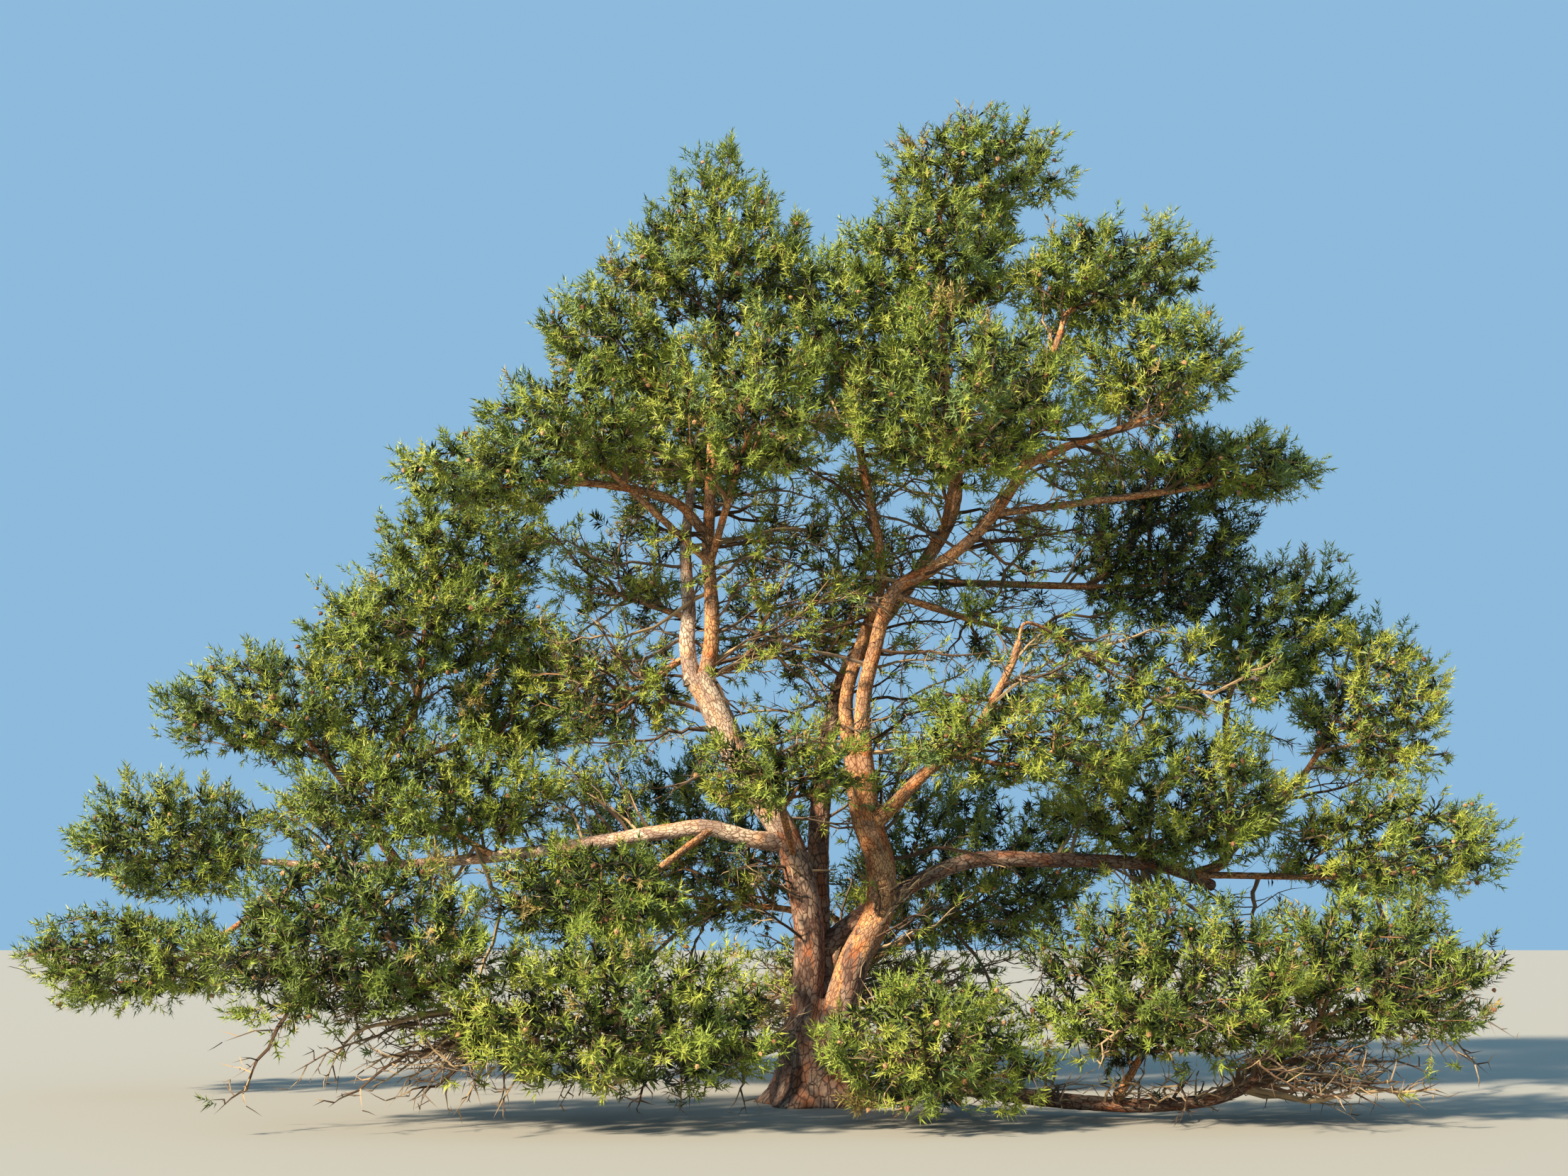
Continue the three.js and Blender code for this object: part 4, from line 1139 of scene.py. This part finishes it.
def bark_material(kind):
    """Bark with the colours of its kind: scales with cracks round them, patches, odd plates, flecks."""
    plate, crack, patch, odd, depth = BARKS[kind]
    material, shader = shader_of("bark_" + kind, 0.2)
    nodes = material.node_tree.nodes
    links = material.node_tree.links

    def feed(node, inputs):
        for socket, value in inputs.items():
            if isinstance(value, bpy.types.NodeSocket):
                links.new(value, node.inputs[socket])
            else:
                node.inputs[socket].default_value = value
        return node.outputs

    def add(node_kind, inputs):
        return feed(nodes.new("ShaderNode" + node_kind), inputs)

    def stretched(scale):
        return add("Mapping", {"Vector": where.outputs["UV"], "Scale": scale})["Vector"]

    def noise(scale, detail, stretch=(1, 1, 1)):
        return add("TexNoise", {"Vector": stretched(stretch), "Scale": scale, "Detail": detail})["Fac"]

    def ramp(value, low, high):
        return add("MapRange", {"Value": value, "From Min": low, "From Max": high})["Result"]

    def mix(share, first, second):
        node = nodes.new("ShaderNodeMix")
        node.data_type = "RGBA"
        return feed(node, {"Factor": share, "A": first, "B": second})["Result"]

    where = nodes.new("ShaderNodeUVMap")
    where.uv_map = "bark"
    long_way = stretched((1, 0.45, 1))
    scales = nodes.new("ShaderNodeTexVoronoi")
    scales.feature = "DISTANCE_TO_EDGE"
    feed(scales, {"Vector": long_way, "Scale": 22 if kind == "rugged" else 34})
    cracks = ramp(scales.outputs["Distance"], 0.0, 0.12)
    cells = add("TexVoronoi", {"Vector": long_way, "Scale": 13})["Color"]
    odd_plates = ramp(add("SeparateColor", {"Color": cells})["Red"], 0.62, 0.7)
    patches = ramp(noise(5, 4, (1, 0.5, 1)), 0.45, 0.62)
    flecks = ramp(noise(60, 3, (1, 0.6, 1)), 0.55, 0.7)
    colour = mix(odd_plates, mix(patches, linear(plate), linear(patch)), linear(odd))
    colour = mix(cracks, linear(crack), mix(flecks, colour, linear(crack)))
    rough = add("MapRange", {"Value": noise(30, 3), "To Min": 0.72, "To Max": 0.95})["Result"]
    height = add("Math", {0: cracks, 1: noise(120, 5)})["Value"]
    bump = add("Bump", {"Strength": 0.7, "Distance": 0.004, "Height": height})["Normal"]
    feed(shader, {"Base Color": colour, "Roughness": rough, "Normal": bump})
    return material


def grow_mass(mass, part):
    """Adds a mass's needles and their tones, twigs, stem, dead wood and cones to those of its region."""
    random = np.random.default_rng(mass.seed)
    curve, foot = stem_of(mass)
    joints = curve.at(np.linspace(0, 1, STEM_JOINTS + 1))
    hearts = mass.centre + spray_spots(mass) * mass.half * HEART_REACH
    hearts = hearts[in_space(mass, hearts)]
    clusters = clusters_of(mass, random)
    wood = Wood(random, TWIG_WANDER, joints, hearts)
    inner = inner_spots(mass, random)
    inner_ends = [wood.grow(inner[i]) for i in nearest_first(inner, curve.at(0.6))]
    for i in nearest_first(clusters, curve.at(0.75)):
        away = unit(clusters[i] - mass.centre)
        wood.grow(clusters[i] - away * 0.12 - UP * 0.04)

    axis = unit((clusters - mass.centre) / mass.half) + UP * CLUSTER_RISE
    axis = unit(axis + random.normal(0, 0.25, clusters.shape))
    along = random.normal(0, 1, (len(clusters), 3 * BRUSHES, 1))
    narrow = np.clip(1.1 - 0.45 * along, 0.25, 2)
    tries = clusters[:, None] + axis[:, None] * along * CLUSTER_LENGTH
    tries = tries + random.normal(0, 1, tries.shape) * narrow * CLUSTER_WIDTH
    good = in_space(mass, tries, OVERREACH) & in_reach(tries)
    good &= clearance(tries.reshape(-1, 3)).reshape(good.shape) > BRUSH_CLEAR
    good &= np.cumsum(good, axis=1) <= BRUSHES
    targets = tries[good]
    order = nearest_first(targets, curve.at(0.6))
    cluster_of = np.nonzero(good)[0][order]
    ends = []
    for target in targets[order]:
        ends.append(wood.grow(target))
        wood.closed[ends[-1]] = CLOSED

    dead = Wood(random, DEAD_WANDER, joints, hearts)
    first_dead = len(dead.parent)
    spots = bare_spots(mass, random)
    for i in nearest_first(spots, curve.at(0.6)):
        dead.grow(spots[i], DEAD_SAG)
    boughs = boughs_of_mass(mass, curve, random)

    tuft_feet, tuft_tips = boughs.tuft_ends()
    tips = np.vstack([wood.at[ends], tuft_tips])
    before = np.vstack([wood.at[np.array(wood.parent)[ends]], tuft_feet])
    part["needles"].append(brushes(tips, before, random))
    shares = TONE_SHARES.get(mass.name, TONE_SHARES[mass.piece])
    tones = random.choice(len(GREENS), cluster_of.max() + 1, p=shares)[cluster_of]
    own = random.choice(len(GREENS), len(tips), p=shares)
    tones = np.concatenate([tones, own[len(tones) :]])
    tones = np.where(random.uniform(size=len(tips)) < OWN_TONE, own, tones)
    part["tones"].append(np.repeat(tones, SHOOTS * NEEDLES_PER_SHOOT))
    # The inner needles are painted dark: the shade green, which is painted shade, or deep green.
    inner = inner_needles(wood, inner_ends, random)
    shade = random.uniform(size=len(inner)) < INNER_SHADE
    part["needles"].append(inner.reshape(-1, 3))
    part["tones"].append(np.where(shade, list(GREENS).index("shade"), list(GREENS).index("deep")))
    for k in random.permutation(ends)[: int(CONE_SHARE * len(ends))]:
        heading = wood.heading[k]
        at = wood.at[k] - heading * 0.03 + unit(random.normal(size=3) + UP * 0.2) * 0.05
        droop = unit(heading * 0.4 - UP * 0.6 + random.normal(0, 0.4, 3))
        part["cones"].append(cone_mesh(at, droop, random))

    part["twigs"].append(wood_mesh(wood, foot, TWIG_TIP, STEM_JOINTS + 1))
    part["dead"].append(wood_mesh(dead, DEAD_FOOT, DEAD_TWIG_TIP, first_dead))
    part["dead"] += boughs.meshes
    widths = wood_radii(wood, foot, TWIG_TIP)[: STEM_JOINTS + 1]
    places = np.linspace(0, 1, STEM_JOINTS + 1)
    stem = bark_mesh(curve, lambda shares: np.interp(shares, places, widths),
                     "orange", *MASS_STEM_RINGS, mass.seed)
    part["stems"].append(stem)


pieces = {}
for piece in MASSES:
    pieces[piece] = {kind: [] for kind in ("needles", "tones", "twigs", "dead", "cones", "stems")}
for mass in masses:
    grow_mass(mass, pieces[mass.piece])

stem_random = np.random.default_rng(STEM_SEED)
for name in curves:
    if "stem" in name or "leader" in name:
        pieces["middle"]["dead"] += stubs(name, stem_random)
grown = [("middle", boughs_of_stem(name, *row, stem_random)) for name, row in STEM_BOUGHS.items()]
grown += [(region, bridging_boughs(*row, stem_random)) for *row, region in BRIDGES]
for region, boughs in grown:
    part = pieces[region]
    part["dead"] += boughs.meshes
    feet, tips = boughs.tuft_ends()
    if len(tips):
        part["needles"].append(brushes(tips, feet, stem_random))
        tones = stem_random.choice(len(GREENS), len(tips), p=TONE_SHARES[region])
        part["tones"].append(np.repeat(tones, SHOOTS * NEEDLES_PER_SHOOT))

green_materials = paints("needles", GREENS, 0.5)
# Kinds: slot, materials, and the shares in which those are dealt out, by region where it has its own.
KINDS = {
    "twigs": ("bark_upper", paints("twigs", TWIG_BARKS, 0.85), {}),
    "dead": ("bark_upper", paints("dead", DEAD_BARKS, 0.9), DEAD_SHARES),
    "cones": ("foliage", paints("cones", CONE_COLOURS, 0.7), {}),
}
for region, part in pieces.items():
    corners = np.vstack(part["needles"])
    faces = np.arange(len(corners)).reshape(-1, 3)
    needles = add_piece("needles_" + region, "foliage", corners, faces, green_materials,
                        np.concatenate(part["tones"]))
    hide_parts(*[row[0] for row in MASSES[region]])
    for kind, (slot, materials, own_shares) in KINDS.items():
        points, faces = joined(part[kind])
        shares = own_shares.get(region, PAINT_SHARES[len(materials)])
        paint = np.random.default_rng(len(faces)).choice(len(shares), len(part[kind]), p=shares)
        indices = np.repeat(paint, [len(mesh[1]) for mesh in part[kind]])
        add_piece(kind + "_" + region, slot, points, faces, materials, indices)


def trunk_shape(height, angle, size):
    """The trunk flares into buttresses at its foot and narrows near its top, where the stems leave it."""
    flare = np.exp(-height / TRUNK_FLARE_HEIGHT)
    flutes = 1 + BUTTRESS_DEPTH * flare * np.cos(BUTTRESSES * angle)
    top = 1 - 0.55 * np.clip((height - 0.66) / 0.34, 0, 1) ** 1.6
    return size * (1 + TRUNK_FLARE * flare) * flutes * top


bark_materials = {kind: bark_material(kind) for kind in BARKS}
trunk = bark_mesh(curves["trunk"], lambda shares: np.full(len(shares), TRUNK_RADIUS),
                  "rugged", *TRUNK_RINGS, TRUNK_SEED, trunk_shape)
dress_limb("trunk", "rugged", trunk, TRUNK_SEED)
for index, (name, parent, foot, tip, kind, through) in enumerate(LIMBS):
    collar = COLLAR if parent else STEM_COLLAR

    def radius_at(shares):
        fade = np.exp(-shares * curves[name].length / (COLLAR_REACH * foot * MM))
        return limb_radius(name, shares) * (1 + collar * fade)

    sides, spacing = next(rings for least, *rings in LIMB_RINGS if foot > least)
    seed = 31 * index + 11
    mesh = bark_mesh(curves[name], radius_at, kind, sides, spacing, seed)
    dress_limb(name, kind, mesh, seed)
for region, part in pieces.items():
    bark_piece("stems_" + region, "bark_upper", ["orange"], part["stems"])

# The stage: a plain pale floor, blue air that lights the shade, and a warm sun from the left.
FLOOR_SIZE = 400
bpy.ops.mesh.primitive_plane_add(size=FLOOR_SIZE)
floor = bpy.context.object
floor.name = "floor"
floor.data.materials.append(plain("floor", (158, 155, 146), 0.95))

world = bpy.data.worlds.new("air")
world.use_nodes = True
bpy.context.scene.world = world
air = world.node_tree.nodes["Background"]
air.inputs["Color"].default_value = (0.36, 0.66, 0.96, 1)
air.inputs["Strength"].default_value = 0.75

SUN_AZIMUTH = -48  # degrees from the camera's side, to the left
SUN_HEIGHT = 30
lamp = bpy.data.lights.new("sun", "SUN")
lamp.energy = 10.3
lamp.color = (1.0, 0.86, 0.66)
lamp.angle = math.radians(4)
sun = bpy.data.objects.new("sun", lamp)
sun.rotation_euler = (math.radians(90 - SUN_HEIGHT), 0, math.radians(SUN_AZIMUTH))
bpy.context.scene.collection.objects.link(sun)
bpy.context.scene.view_settings.view_transform = "Standard"

# The camera, as the photograph was taken: eye height, 18.6 m in front, pitched up.
IMAGE_WIDTH = 2212
FOCAL_PIXELS = 2600
SENSOR = 36
CAMERA_PITCH = 10.7
camera_data = bpy.data.cameras.new("camera")
camera_data.sensor_width = SENSOR
camera_data.lens = FOCAL_PIXELS / IMAGE_WIDTH * SENSOR
camera_data.clip_end = 500
camera = bpy.data.objects.new("camera", camera_data)
camera.location = (-0.39, -18.6, 1.6)
camera.rotation_euler = (math.radians(90 + CAMERA_PITCH), 0, 0)
bpy.context.scene.collection.objects.link(camera)
bpy.context.scene.camera = camera
